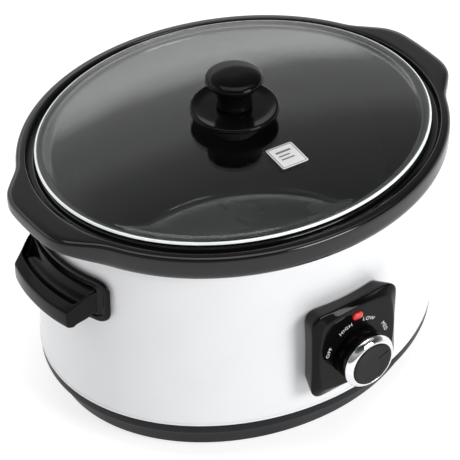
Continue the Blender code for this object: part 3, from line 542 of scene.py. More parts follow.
def grip_section(side, share, top, middle, swell=1.0):
    """One slice of the grip, from the flange out to the lip and back along the underside."""
    root_y = (GRIP_HALF + 0.0090) * share
    edge_y = GRIP_HALF * share
    root_x = (WALL_A - lean(middle)) * math.sqrt(1 - (root_y / WALL_B) ** 2) + 0.0020
    edge_x = WALL_A + GRIP_REACH - 0.0048 * abs(share) ** 2.2
    ramp = min(1.0, max(0.0, (0.965 - abs(share)) / 0.075))
    hollow = ramp * ramp * (3 - 2 * ramp)
    line = (
        (0.00, 0.0),
        (0.06, -0.0004),
        (0.12, -0.0009 - 0.0034 * hollow),
        (0.20, -0.0014 - 0.0072 * hollow),
        (0.31, -0.0028 - 0.0086 * hollow),
        (0.42, -0.0046 - 0.0082 * hollow),
        (0.52, -0.0068 - 0.0064 * hollow),
        (0.59, -0.0084 - 0.0040 * hollow),
        (0.63, -0.0092 - 0.0014 * hollow),
        (0.66, -0.0098),
        (0.74, -0.0112),
        (0.84, -0.0129),
        (0.92, -0.0143),
        (0.97, -0.0152),
        (0.992, -0.0160),
        (1.00, -0.0174),
        (1.00, -0.0273),
        (0.992, -0.0288),
        (0.96, -0.0298),
        (0.87, -0.0299),
        (0.79, -0.0298),
        (0.76, -0.0286 + 0.0056 * hollow),
        (0.72, -0.0277 + 0.0078 * hollow),
        (0.56, -0.0257 + 0.0068 * hollow),
        (0.40, -0.0239 + 0.0056 * hollow),
        (0.18, -0.0202 + 0.0030 * hollow),
        (0.00, -0.0170),
    )
    row = []
    for across, down in line:
        across = 0.5 + (across - 0.5) * swell
        down = GRIP_CORE + (down - GRIP_CORE) * swell
        x = root_x + (edge_x - root_x) * across
        y = root_y + (edge_y - root_y) * across
        row.append((side * x, CENTRE_Y + y, top + down))
    return row


GRIP_SHARES = [-1.0, -0.988, -0.965, -0.94, -0.91, -0.88, -0.80, -0.68, -0.54, -0.38, -0.2, 0.0]
GRIP_SHARES += [-share for share in reversed(GRIP_SHARES[:-1])]
for name, side in (("left", -1), ("right", 1)):
    low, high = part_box(f"handle_{name}")
    middle = high[2] - FLANGE_HALF_HIGH
    flange_rows = [flange_row(side, middle, FLANGE_HALF_HIGH, *step) for step in FLANGE_STEPS]
    flange = skin(f"flange_{name}", flange_rows, ring=False)
    top = middle + GRIP_RISE
    slices = [grip_section(side, -1.0, top, middle, 0.93)]
    slices += [grip_section(side, -1.0, top, middle, 0.985)]
    slices += [grip_section(side, share, top, middle) for share in GRIP_SHARES[1:-1]]
    slices += [grip_section(side, 1.0, top, middle, 0.985)]
    slices += [grip_section(side, 1.0, top, middle, 0.93)]
    grip = skin(f"grip_{name}", slices, ring=False)
    both = join(f"side_handle_{name}", [flange, grip])
    handle = piece(f"side_handle_{name}", both, "housing", [f"handle_{name}"], 1)
    handle.data.materials.append(gloss)

# ---- Control panel ----
# One hollow moulding in the same gloss black, its sides leaning in to the wall and its face raised.
# It is slotted for the lamp, and its back edge follows the wall.  The real one is bored for the switch's
# shaft as well: here the shaft passes through the face, hidden under the knob.

panel_low, panel_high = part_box("control_panel")
PANEL_HALF = (panel_high[0] - panel_low[0]) / 2
PANEL_Z = (panel_low[2] + panel_high[2]) / 2
FACE_Y = panel_low[1]


def pillow(half, bow, corner, y, bend=6, run=5):
    """A rounded square whose sides bow out, or in where the bow is negative."""
    row = []
    for quarter in range(4):
        turn = quarter * math.pi / 2
        local = []
        for step in range(bend + 1):
            t = math.radians(90 * step / bend)
            local.append((half - corner + corner * math.cos(t), half - corner + corner * math.sin(t)))
        for step in range(1, run + 1):
            share = 1 - 2 * step / (run + 1)
            local.append((share * (half - corner), half + bow * (1 - share**2)))
        for u, v in local:
            x = u * math.cos(turn) - v * math.sin(turn)
            z = u * math.sin(turn) + v * math.cos(turn)
            row.append((x, y, PANEL_Z + z))
    return row


def on_wall(row, off):
    moved = []
    for x, _, z in row:
        a = WALL_A - lean(z) + off
        b = WALL_B - lean(z) + off
        moved.append((x, CENTRE_Y - b * math.sqrt(1 - (x / a) ** 2), z))
    return moved


def carve(made, tool):
    """Takes one shape out of a piece, and keeps the cut's edges crisp."""
    cut = made.modifiers.new("cut", "BOOLEAN")
    cut.object = tool
    cut.solver = "EXACT"
    bpy.context.view_layer.update()
    mesh = bpy.data.meshes.new_from_object(made.evaluated_get(bpy.context.evaluated_depsgraph_get()))
    made.modifiers.clear()
    made.data = mesh
    mesh.set_sharp_from_angle(angle=math.radians(38))
    bpy.data.objects.remove(tool, do_unlink=True)


def block(name, low, high):
    """A plain cutting block between two corners."""
    work = bmesh.new()
    size = [b - a for a, b in zip(low, high)]
    middle = Vector([(a + b) / 2 for a, b in zip(low, high)])
    bmesh.ops.create_cube(work, size=1.0, matrix=Matrix.Translation(middle) @ Matrix.Diagonal((*size, 1)))
    mesh = bpy.data.meshes.new(name)
    work.to_mesh(mesh)
    work.free()
    made = bpy.data.objects.new(name, mesh)
    bpy.context.scene.collection.objects.link(made)
    return made


BACK = PANEL_HALF - 0.0046
panel_rows = [
    pillow(PANEL_HALF - 0.0200, 0.0014, 0.0030, FACE_Y),
    pillow(PANEL_HALF - 0.0090, 0.0030, 0.0038, FACE_Y),
    pillow(PANEL_HALF - 0.0075, 0.0032, 0.0042, FACE_Y + 0.00005),
    pillow(PANEL_HALF - 0.0071, 0.0032, 0.0044, FACE_Y + 0.0002),
    pillow(PANEL_HALF - 0.0065, 0.0031, 0.0047, FACE_Y + 0.0005),
    pillow(PANEL_HALF - 0.0038, 0.0014, 0.0068, FACE_Y + 0.0016),
    pillow(PANEL_HALF - 0.0014, -0.0002, 0.0090, FACE_Y + 0.0026),
    pillow(PANEL_HALF - 0.0006, -0.0005, 0.0096, FACE_Y + 0.0030),
    pillow(PANEL_HALF - 0.0001, -0.0006, 0.0100, FACE_Y + 0.0036),
    pillow(PANEL_HALF, -0.0006, 0.0100, FACE_Y + 0.0046),
    on_wall(pillow(BACK, -0.0006, 0.0090, 0), 0.0010),
    on_wall(pillow(BACK, -0.0006, 0.0090, 0), 0.0003),
    on_wall(pillow(BACK - 0.0024, -0.0006, 0.0070, 0), 0.0003),
    on_wall(pillow(BACK - 0.0024, -0.0006, 0.0070, 0), 0.0010),
    pillow(PANEL_HALF - 0.0030, -0.0006, 0.0076, FACE_Y + 0.0064),
    pillow(PANEL_HALF - 0.0060, 0.0004, 0.0058, FACE_Y + 0.0036),
    pillow(PANEL_HALF - 0.0100, 0.0010, 0.0050, FACE_Y + 0.0024),
    pillow(PANEL_HALF - 0.0200, 0.0005, 0.0040, FACE_Y + 0.0024),
]
panel_mesh = skin("panel_moulding", panel_rows, ring=False)
panel = piece("panel_moulding", panel_mesh, "housing", ["control_panel"], 1)
lens_low, lens_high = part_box("indicator_lens")
SLOT_GAP = 0.0003
slot_low = (lens_low[0] - SLOT_GAP, FACE_Y - 0.0100, lens_low[2] - SLOT_GAP)
slot_high = (lens_high[0] + SLOT_GAP, FACE_Y + 0.0060, lens_high[2] + SLOT_GAP)
carve(panel, block("lamp_slot", slot_low, slot_high))
panel.data.materials.append(gloss)

# ---- Dial lettering ----
# Four plain words pad-printed in white ink round the dial, each set on the circle and facing out.
# The ink stands a few hundredths of a millimetre off the panel.

cap_low, cap_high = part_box("knob_cap")
KNOB_Z = (cap_low[2] + cap_high[2]) / 2
WORD_RADIUS = 0.0262
WORD_HEIGHT = 0.0032


def printed(name, flat, surface):
    """A flat printed mesh of (points, faces), its points moved onto a surface."""
    points, faces = flat
    mesh = bpy.data.meshes.new(name)
    mesh.from_pydata([surface(*point) for point in points], [], faces)
    return mesh


def word(text, height):
    """(points, faces) of one word, centred, in plain sans letters."""
    curve = bpy.data.curves.new(text, "FONT")
    curve.body = text
    curve.align_x = "CENTER"
    curve.size = height / 0.73
    curve.space_character = 1.16
    curve.resolution_u = 4
    made = bpy.data.objects.new(text, curve)
    bpy.context.scene.collection.objects.link(made)
    bpy.context.view_layer.update()
    flat = bpy.data.meshes.new_from_object(made.evaluated_get(bpy.context.evaluated_depsgraph_get()))
    points = [(p.co.x, p.co.y) for p in flat.vertices]
    faces = [tuple(f.vertices) for f in flat.polygons]
    bpy.data.objects.remove(made, do_unlink=True)
    return points, faces


white_ink, n, link, shader = material("white_ink")
marks = use_group(n, handled, Patch_Scale=220.0, Speck_Scale=5200.0)
tint(n, link, marks.outputs["Speck"], (0.86, 0.86, 0.86), (0.60, 0.60, 0.60), shader)
between(n, link, marks.outputs["Smear"], 0.42, 0.60, shader.inputs["Roughness"])

for text, degrees in (("OFF", -67.5), ("HIGH", -22.5), ("LOW", 22.5), ("MED", 67.5)):

    def on_circle(u, v, degrees=degrees):
        t = math.radians(degrees) + u / WORD_RADIUS
        r = WORD_RADIUS + v
        return (r * math.sin(t), FACE_Y - 0.00006, KNOB_Z + r * math.cos(t))

    printing = printed(text, word(text, WORD_HEIGHT), on_circle)
    letters = bpy.data.objects.new(f"dial_word_{text.lower()}", printing)
    bpy.context.scene.collection.objects.link(letters)
    letters.data.materials.append(white_ink)
    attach(letters, "housing")

# ---- Indicator lens ----
# A small oblong lens in clear red acrylic, pressed into the panel.  Its face is softly rounded, and
# the neon behind it is faint in daylight.

red, n, link, shader = material("red_lens")
marks = use_group(n, handled, Patch_Scale=240.0, Speck_Scale=1600.0)
ribs = n.new("ShaderNodeTexWave")
ribs.inputs["Scale"].default_value = 420.0
ribs.inputs["Distortion"].default_value = 1.0
where = n.new("ShaderNodeTexCoord")
link.new(where.outputs["Object"], ribs.inputs["Vector"])
tint(n, link, ribs.outputs["Fac"], (0.30, 0.003, 0.003), (0.62, 0.010, 0.010), shader)
between(n, link, marks.outputs["Smear"], 0.06, 0.14, shader.inputs["Roughness"])
relief(n, link, ribs.outputs["Fac"], shader, 0.30, 0.0002)
shader.inputs["Emission Color"].default_value = (0.9, 0.01, 0.01, 1)
shader.inputs["Emission Strength"].default_value = 0.16
shader.inputs["Coat Weight"].default_value = 0.6


def lozenge(half_x, half_z, corner, y, x0, z0):
    row = []
    for sx, sz, start in ((1, 1, 0), (-1, 1, 90), (-1, -1, 180), (1, -1, 270)):
        for step in range(7):
            t = math.radians(start + 15 * step)
            x = sx * (half_x - corner) + corner * math.cos(t)
            z = sz * (half_z - corner) + corner * math.sin(t)
            row.append((x0 + x, y, z0 + z))
    return row


LENS_X = (lens_high[0] - lens_low[0]) / 2
LENS_Z = (lens_high[2] - lens_low[2]) / 2
lens_at = ((lens_low[0] + lens_high[0]) / 2, (lens_low[2] + lens_high[2]) / 2)
lens_rows = [
    lozenge(LENS_X * 0.55, LENS_Z * 0.50, 0.0011, lens_low[1], *lens_at),
    lozenge(LENS_X - 0.0010, LENS_Z - 0.0010, 0.0013, lens_low[1] + 0.0001, *lens_at),
    lozenge(LENS_X - 0.0004, LENS_Z - 0.0004, 0.0016, lens_low[1] + 0.0004, *lens_at),
    lozenge(LENS_X, LENS_Z, 0.0018, lens_low[1] + 0.0009, *lens_at),
    lozenge(LENS_X, LENS_Z, 0.0018, lens_high[1] - 0.0002, *lens_at),
    lozenge(LENS_X - 0.0002, LENS_Z - 0.0002, 0.0017, lens_high[1], *lens_at),
]
lens = piece("lamp_lens", skin("lamp_lens", lens_rows, ring=False), "housing", ["indicator_lens"], 1)
lens.data.materials.append(red)

# ---- Knob ----
# A gloss black turning body, a bright chromed ring pressed round its front, and a satin charcoal cap
# with a moulded pointer line.  All three turn with the switch's shaft.


def about_knob(name, profile, count=96, ring=False):
    """A body of revolution about the knob's axis, its profile of (radius, height off the panel)."""
    rows = []
    for r, h in profile:
        turn = 2 * math.pi / count
        angles = [i * turn for i in range(count)]
        rows.append([(r * math.cos(t), FACE_Y - h, KNOB_Z + r * math.sin(t)) for t in angles])
    return skin(name, rows, ring)


CAP_FRONT = FACE_Y - cap_low[1]
BODY_FRONT = CAP_FRONT - 0.0058
body_profile = [
    (0.0150, BODY_FRONT + 0.0039),
    (0.0165, BODY_FRONT + 0.0039),
    (0.0168, BODY_FRONT + 0.0036),
    (0.0168, BODY_FRONT + 0.0002),
    (0.0171, BODY_FRONT),
    (0.0200, BODY_FRONT),
    (0.0205, BODY_FRONT - 0.0004),
    (0.0206, BODY_FRONT - 0.0012),
    (0.0207, 0.0022),
    (0.0205, 0.0012),
    (0.0202, 0.0008),
    (0.0184, 0.0008),
    (0.0181, 0.0012),
    (0.0181, BODY_FRONT - 0.0024),
]
body = piece("knob_grip", about_knob("knob_grip", body_profile), "control_knob", ["knob_body"], 1)
body.data.materials.append(gloss)

chrome, n, link, shader = material("chromed_ring")
marks = use_group(n, handled, Patch_Scale=60.0, Speck_Scale=2400.0)
turning = n.new("ShaderNodeTexNoise")
turning.inputs["Scale"].default_value = 900.0
tint(n, link, marks.outputs["Smear"], (0.80, 0.81, 0.83), (0.70, 0.71, 0.73), shader)
between(n, link, marks.outputs["Smear"], 0.06, 0.16, shader.inputs["Roughness"])
relief(n, link, turning.outputs["Fac"], shader, 0.03, 0.0001)
shader.inputs["Metallic"].default_value = 1.0
ring_profile = [
    (0.0172, CAP_FRONT - 0.0006),
    (0.0174, CAP_FRONT - 0.0003),
    (0.0179, CAP_FRONT - 0.0003),
    (0.0187, CAP_FRONT - 0.0007),
    (0.0196, CAP_FRONT - 0.0013),
    (0.0206, CAP_FRONT - 0.0023),
    (0.0213, CAP_FRONT - 0.0034),
    (0.0217, CAP_FRONT - 0.0044),
    (0.0217, CAP_FRONT - 0.0050),
    (0.0213, CAP_FRONT - 0.0054),
    (0.0207, CAP_FRONT - 0.0055),
    (0.0174, CAP_FRONT - 0.0055),
    (0.0172, CAP_FRONT - 0.0053),
]
ring_mesh = about_knob("knob_trim", ring_profile, ring=True)
ring = piece("knob_trim", ring_mesh, "control_knob", ["knob_ring"], 1)
ring.data.materials.append(chrome)

satin, n, link, shader = material("satin_charcoal_cap")
marks = use_group(n, handled, Patch_Scale=70.0, Speck_Scale=2600.0)
peel = use_group(n, texture, Fine_Scale=3200.0, Broad_Scale=160.0)
tint(n, link, peel.outputs["Broad"], (0.0070, 0.0067, 0.0076), (0.0105, 0.0100, 0.0112), shader)
between(n, link, marks.outputs["Smear"], 0.34, 0.46, shader.inputs["Roughness"])
relief(n, link, peel.outputs["Fine"], shader, 0.14, 0.0001)
shader.inputs["Specular IOR Level"].default_value = 0.16
cap_profile = [
    (0.0060, CAP_FRONT - 0.0003),
    (0.0120, CAP_FRONT - 0.0002),
    (0.0156, CAP_FRONT),
    (0.0162, CAP_FRONT - 0.0001),
    (0.0166, CAP_FRONT - 0.0004),
    (0.0168, CAP_FRONT - 0.0010),
    (0.0168, CAP_FRONT - 0.0016),
    (0.0160, CAP_FRONT - 0.0017),
]
cap = piece("knob_face", about_knob("knob_face", cap_profile), "control_knob", ["knob_cap"], 1)
pointer = block(
    "pointer_groove",
    (-0.00045, FACE_Y - CAP_FRONT - 0.0010, 0.0062),
    (0.00045, FACE_Y - CAP_FRONT + 0.0007, 0.0152),
)
pointer.matrix_world = Matrix.Translation((0, 0, KNOB_Z)) @ Matrix.Rotation(math.radians(67.5), 4, "Y")
carve(cap, pointer)
cap.data.materials.append(satin)

# ---- Crock ----
# Thick stoneware cast in one piece and glazed gloss black all over, darker where the glaze pools and
# thinner along the edges.  The floor of the bowl is a lighter, duller grey: a painted reflection of a
# soft box in the glossy glaze.  A drip channel runs inside the rim, round the seat that carries the lid,
# and a lug at each end is for lifting.

crock_low, crock_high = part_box("crock")
RIM_A = WALL_A + 0.0074
RIM_B = WALL_B + 0.0108
RIM_Z = crock_high[2]
LUG_REACH = crock_high[0] - RIM_A
LEDGE_Z = RIM_Z - 0.0015
CHANNEL_Z = RIM_Z - 0.0056
SKIRT_Z = WALL_TOP + 0.0005
WELL_GAP = 0.0024
CROCK_FOOT = crock_low[2]
CROCK_RING = 192


LUG_SHARES = (
    (0, 0.98),
    (5, 1.01),
    (10, 1.085),
    (12, 1.067),
    (15, 0.94),
    (17, 0.72),
    (19, 0.485),
    (21, 0.26),
    (23, 0.06),
    (25, 0),
    (91, 0),
)


def lug(t):
    """How much of the lug's reach stands at a ring angle: nearly straight, then cut back to the rim."""
    from_end = math.degrees(math.asin(min(1.0, abs(math.sin(t)))))
    for (low, low_share), (high, high_share) in zip(LUG_SHARES, LUG_SHARES[1:]):
        if low <= from_end <= high:
            return low_share + (high_share - low_share) * (from_end - low) / (high - low)
    return 0.0


def crock_angles():
    return [2 * math.pi * i / CROCK_RING for i in range(CROCK_RING)]


def rim_row(offset, z, reach=1.0, lift=0.0):
    row = []
    for t in crock_angles():
        x = (RIM_A + offset) * math.cos(t)
        y = (RIM_B + offset) * math.sin(t)
        out = math.copysign(LUG_REACH * lug(t) * reach, x)
        row.append((x + out, CENTRE_Y + y, z + lift * lug(t)))
    return row


def bowl_row(inset, z):
    return oval(WALL_A - lean(z) - inset - WELL_GAP, WALL_B - lean(z) - inset - WELL_GAP, z, CROCK_RING)


LID_A = RIM_A - 0.0139
LID_B = RIM_B - 0.0139


def seat_row(inset, z):
    return oval(LID_A - inset, LID_B - inset, z, CROCK_RING)


glaze, n, link, shader = material("black_glaze")
marks = use_group(n, handled, Patch_Scale=9.0, Speck_Scale=380.0)
peel = use_group(n, texture, Fine_Scale=420.0, Broad_Scale=22.0)
edge = n.new("ShaderNodeNewGeometry")
thin = n.new("ShaderNodeMapRange")
thin.inputs["From Min"].default_value = 0.52
thin.inputs["From Max"].default_value = 0.62
worn = n.new("ShaderNodeMixRGB")
worn.inputs["Color1"].default_value = (0.0048, 0.0047, 0.0047, 1)
worn.inputs["Color2"].default_value = (0.013, 0.0125, 0.012, 1)
shader.inputs["Specular IOR Level"].default_value = 0.42
pitted = n.new("ShaderNodeMixRGB")
pitted.inputs["Color2"].default_value = (0.010, 0.0095, 0.0095, 1)
link.new(edge.outputs["Pointiness"], thin.inputs["Value"])
link.new(thin.outputs["Result"], worn.inputs["Fac"])
link.new(marks.outputs["Speck"], pitted.inputs["Fac"])
link.new(worn.outputs["Color"], pitted.inputs["Color1"])
link.new(pitted.outputs["Color"], shader.inputs["Base Color"])
between(n, link, marks.outputs["Smear"], 0.09, 0.15, shader.inputs["Roughness"])
relief(n, link, peel.outputs["Broad"], shader, 0.012, 0.0008)

crock_rows = [
    bowl_row(0.0500, CROCK_FOOT),
    bowl_row(0.0335, CROCK_FOOT),
    bowl_row(0.0290, CROCK_FOOT + 0.0006),
    bowl_row(0.0240, CROCK_FOOT + 0.0022),
    bowl_row(0.0200, CROCK_FOOT + 0.0060),
    bowl_row(0.0173, CROCK_FOOT + 0.0120),
    bowl_row(0.0144, CROCK_FOOT + 0.0280),
    bowl_row(0.0120, CROCK_FOOT + 0.0480),
    bowl_row(0.0095, CROCK_FOOT + 0.0635),
    bowl_row(0.0060, CROCK_FOOT + 0.1000),
    bowl_row(0.0029, WALL_TOP - 0.0060),
    bowl_row(0.0027, WALL_TOP),
    rim_row(-0.0062, WALL_TOP + 0.0018, 0.0),
    rim_row(-0.0057, WALL_TOP + 0.0018, 0.30, 0.0024),
    rim_row(-0.0053, SKIRT_Z + 0.0010, 0.80, 0.0058),
    rim_row(-0.0049, SKIRT_Z + 0.0003, 0.93, 0.0062),
    rim_row(-0.0036, SKIRT_Z, 0.97, 0.0062),
    rim_row(-0.0022, SKIRT_Z + 0.0004, 0.99, 0.0060),
    rim_row(-0.0010, SKIRT_Z + 0.0018, 1.0, 0.0056),
    rim_row(-0.0002, SKIRT_Z + 0.0044, 1.0, 0.0040),
    rim_row(0, SKIRT_Z + 0.0060, 1.0, 0.0030),
    rim_row(0, RIM_Z - 0.0050),
    rim_row(-0.0001, RIM_Z - 0.0032),
    rim_row(-0.0005, RIM_Z - 0.0018),
    rim_row(-0.0013, RIM_Z - 0.0008, 0.985),
    rim_row(-0.0026, RIM_Z - 0.0003, 0.94),
    rim_row(-0.0040, RIM_Z - 0.0001, 0.78),
    rim_row(-0.0052, RIM_Z - 0.0001, 0.52),
    rim_row(-0.0060, RIM_Z, 0.24),
    rim_row(-0.0066, RIM_Z, 0.04),
    rim_row(-0.0072, RIM_Z - 0.0004, 0.0),
    rim_row(-0.0077, RIM_Z - 0.0012, 0.0),
    rim_row(-0.0080, RIM_Z - 0.0026, 0.0),
    rim_row(-0.0082, CHANNEL_Z + 0.0010, 0.0),
    rim_row(-0.0090, CHANNEL_Z + 0.0001, 0.0),
    rim_row(-0.0100, CHANNEL_Z, 0.0),
    rim_row(-0.0124, CHANNEL_Z, 0.0),
    rim_row(-0.0134, CHANNEL_Z + 0.0003, 0.0),
    rim_row(-0.0139, CHANNEL_Z + 0.0012, 0.0),
    rim_row(-0.0142, LEDGE_Z - 0.0008, 0.0),
    rim_row(-0.0147, LEDGE_Z - 0.0001, 0.0),
    seat_row(0.0020, LEDGE_Z),
    seat_row(0.0060, LEDGE_Z),
    seat_row(0.0074, LEDGE_Z - 0.0003),
    seat_row(0.0084, LEDGE_Z - 0.0014),
    bowl_row(0.0098, WALL_TOP + 0.0040),
    bowl_row(0.0104, WALL_TOP - 0.0060),
    bowl_row(0.0138, CROCK_FOOT + 0.1000),
    bowl_row(0.0172, CROCK_FOOT + 0.0635),
    bowl_row(0.0200, CROCK_FOOT + 0.0450),
    bowl_row(0.0232, CROCK_FOOT + 0.0290),
    bowl_row(0.0256, CROCK_FOOT + 0.0200),
    bowl_row(0.0290, CROCK_FOOT + 0.0130),
    bowl_row(0.0336, CROCK_FOOT + 0.0090),
    bowl_row(0.0400, CROCK_FOOT + 0.0077),
    bowl_row(0.0600, CROCK_FOOT + 0.0075),
]
crock = piece("stoneware_crock", skin("stoneware_crock", crock_rows, ring=False), "crock", ["crock"], 1)
# Painted reflection: the bowl's floor gets a lighter grey glaze that stands in for a soft box reflecting in
# it.
floor_reflection_paint, n, link, shader = material("floor_reflection_paint_glaze")
marks = use_group(n, handled, Patch_Scale=16.0, Speck_Scale=420.0)
tint(n, link, marks.outputs["Smear"], (0.070, 0.070, 0.072), (0.105, 0.105, 0.107), shader)
between(n, link, marks.outputs["Smear"], 0.22, 0.34, shader.inputs["Roughness"])
crock.data.materials.append(glaze)
crock.data.materials.append(floor_reflection_paint)
for face in crock.data.polygons:
    x, y, z = face.center
    on_floor = CROCK_FOOT + 0.0070 < z < CROCK_FOOT + 0.0100 and face.normal.z > 0.5
    face.material_index = 1 if on_floor else 0

# ---- Lid ----
# Clear tempered soda-lime glass, pressed to a shallow dome with a thick polished edge that sits down
# on the crock's ledge.  It is bored once at the top for the grip's screw.

lid_low, lid_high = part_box("lid_glass")
DOME_Z = lid_high[2]
EDGE_TOP = DOME_Z - 0.0070
LID_Z = lid_low[2]
GLASS = 0.0040
LID_RING = 160

clear, n, link, shader = material("clear_glass")
marks = use_group(n, handled, Patch_Scale=11.0, Speck_Scale=300.0)
tint(n, link, marks.outputs["Smear"], (0.93, 0.965, 0.955), (0.955, 0.975, 0.97), shader)
between(n, link, marks.outputs["Smear"], 0.0, 0.0015, shader.inputs["Roughness"])
shader.inputs["Transmission Weight"].default_value = 1.0
shader.inputs["IOR"].default_value = 1.5
ray = n.new("ShaderNodeLightPath")
lets_through = n.new("ShaderNodeBsdfTransparent")
lets_through.inputs["Color"].default_value = (0.85, 0.88, 0.87, 1)
passing = n.new("ShaderNodeMixShader")
link.new(ray.outputs["Is Shadow Ray"], passing.inputs["Fac"])
link.new(shader.outputs["BSDF"], passing.inputs[1])
link.new(lets_through.outputs["BSDF"], passing.inputs[2])
link.new(passing.outputs["Shader"], n["Material Output"].inputs["Surface"])


def edge_row(inset, z):
    return oval(LID_A - inset, LID_B - inset, z, LID_RING)


def dome_row(share, z):
    return oval(LID_A * share, LID_B * share, z, LID_RING)


def bore_row(radius, z):
    return oval(radius, radius, z, LID_RING)


DOME = ((0.22, 0.0003), (0.35, 0.0009), (0.47, 0.0016), (0.58, 0.0025))
DOME += ((0.68, 0.0034), (0.78, 0.0046), (0.86, 0.0057), (0.91, 0.0065))
LID_EDGE = (
    (0.0080, EDGE_TOP + 0.0001),
    (0.0040, EDGE_TOP),
    (0.0014, EDGE_TOP - 0.0002),
    (0.0005, EDGE_TOP - 0.0008),
    (0.0001, EDGE_TOP - 0.0016),
    (0.0001, LID_Z + 0.0016),
    (0.0005, LID_Z + 0.0007),
    (0.0014, LID_Z + 0.0001),
    (0.0026, LID_Z),
    (0.0070, LID_Z),
    (0.0110, LID_Z + 0.0010),
)
glass_rows = [bore_row(0.0033, DOME_Z - 0.0002), bore_row(0.0036, DOME_Z), bore_row(0.0180, DOME_Z)]
glass_rows += [dome_row(share, DOME_Z - fall) for share, fall in DOME]
glass_rows += [edge_row(*step) for step in LID_EDGE]
glass_rows += [dome_row(share - 0.012, DOME_Z - fall - GLASS) for share, fall in reversed(DOME)]
glass_rows += [bore_row(0.0180, DOME_Z - GLASS), bore_row(0.0036, DOME_Z - GLASS)]
glass_rows += [bore_row(0.0033, DOME_Z - GLASS + 0.0002)]
glass = piece("glass_lid", skin("glass_lid", glass_rows), "lid", ["lid_glass"], 1)
# The glass edge is frosted pale, as ground glass is, and also glows faintly: a painted highlight for the
# bright line of light along the lid's edge.
ground_edge_painted_glow, n, link, shader = material("ground_glass_edge_painted_glow")
marks = use_group(n, handled, Patch_Scale=20.0, Speck_Scale=500.0)
tint(n, link, marks.outputs["Smear"], (0.82, 0.86, 0.85), (0.90, 0.93, 0.92), shader)
between(n, link, marks.outputs["Smear"], 0.22, 0.34, shader.inputs["Roughness"])
shader.inputs["Transmission Weight"].default_value = 0.25
shader.inputs["IOR"].default_value = 1.5
shader.inputs["Emission Color"].default_value = (0.90, 0.95, 0.93, 1)
shader.inputs["Emission Strength"].default_value = 0.30
glass.data.materials.append(clear)
glass.data.materials.append(ground_edge_painted_glow)
for face in glass.data.polygons:
    x, y, z = face.center
    share = math.hypot(x / LID_A, (y - CENTRE_Y) / LID_B)
    face.material_index = 1 if share > 0.992 and z > EDGE_TOP - 0.0015 else 0

# ---- Lid grip and heat guard ----
# Two gloss black mouldings held through the glass by one screw: a dished disc that keeps fingers off
# the glass, and a waisted grip with a broad flat-domed top.

guard_low, guard_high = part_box("lid_guard")
GUARD_RADIUS = (guard_high[0] - guard_low[0]) / 2
GUARD_LOW = guard_low[2]
DISC = GUARD_LOW + 0.0062
guard_profile = [
    (0.0200, DISC + 0.0034),
    (0.0240, DISC + 0.0032),
    (0.0280, DISC + 0.0036),
    (GUARD_RADIUS - 0.0030, DISC + 0.0041),
    (GUARD_RADIUS - 0.0018, DISC + 0.0043),
    (GUARD_RADIUS - 0.0008, DISC + 0.0040),
    (GUARD_RADIUS - 0.0002, DISC + 0.0031),
    (GUARD_RADIUS - 0.0001, DISC + 0.0014),
    (GUARD_RADIUS - 0.0006, DISC + 0.0004),
    (GUARD_RADIUS - 0.0016, DISC),
    (0.0240, DISC),
    (0.0200, DISC - 0.0002),
    (0.0193, DISC - 0.0010),
    (0.0189, GUARD_LOW + 0.0004),
    (0.0186, GUARD_LOW),
    (0.0030, GUARD_LOW),
    (0.0022, GUARD_LOW + 0.0006),
    (0.0022, DISC + 0.0030),
    (0.0030, DISC + 0.0034),
]
guard_mesh = turned("heat_guard", guard_profile, (0, CENTRE_Y, 0), 96, True)
guard = piece("heat_guard", guard_mesh, "lid", ["lid_guard"], 1)
guard.data.materials.append(gloss)

grip_low, grip_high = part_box("lid_grip")
R = (grip_high[0] - grip_low[0]) / 2
TOP = grip_high[2]
FOOT = grip_low[2]
grip_profile = [
    (R * 0.20, TOP - 0.0001),
    (R * 0.45, TOP - 0.0003),
    (R * 0.66, TOP - 0.0008),
    (R * 0.80, TOP - 0.0014),
    (R * 0.91, TOP - 0.0023),
    (R * 0.97, TOP - 0.0034),
    (R * 0.998, TOP - 0.0048),
    (R * 0.99, TOP - 0.0062),
    (R * 0.95, TOP - 0.0076),
    (R * 0.86, TOP - 0.0098),
    (R * 0.76, TOP - 0.0122),
    (R * 0.68, TOP - 0.0146),
    (R * 0.62, TOP - 0.0174),
    (R * 0.59, TOP - 0.0200),
    (R * 0.585, TOP - 0.0222),
    (R * 0.60, TOP - 0.0244),
    (R * 0.62, FOOT + 0.0034),
    (R * 0.62, FOOT + 0.0012),
    (R * 0.59, FOOT + 0.0002),
    (R * 0.55, FOOT),
    (0.0030, FOOT),
    (0.0022, FOOT + 0.0006),
    (0.0022, FOOT + 0.0146),
    (0.0016, FOOT + 0.0150),
]
grip = piece("lid_knob", turned("lid_knob", grip_profile, (0, CENTRE_Y, 0), 96), "lid", ["lid_grip"], 1)
grip.data.materials.append(gloss)

# ---- Lid label ----
# A rounded square of white film on the glass in front of the grip, printed with a plain dark border
# and three short bars.  It lies on the dome's curve.

label_low, label_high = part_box("lid_label")
LABEL_X = (label_low[0] + label_high[0]) / 2
LABEL_Y = (label_low[1] + label_high[1]) / 2
LABEL_HALF_X = 0.0110
LABEL_HALF_Y = 0.0122


def dome_height(x, y):
    """Height of the glass over a point, read along the dome's profile."""
    share = math.hypot(x / LID_A, (y - CENTRE_Y) / LID_B)
    last = (0.14, 0.0)
    for step in DOME:
        if share <= step[0]:
            return DOME_Z - last[1] - (step[1] - last[1]) * max(0.0, share - last[0]) / (step[0] - last[0])
        last = step
    return DOME_Z - last[1]


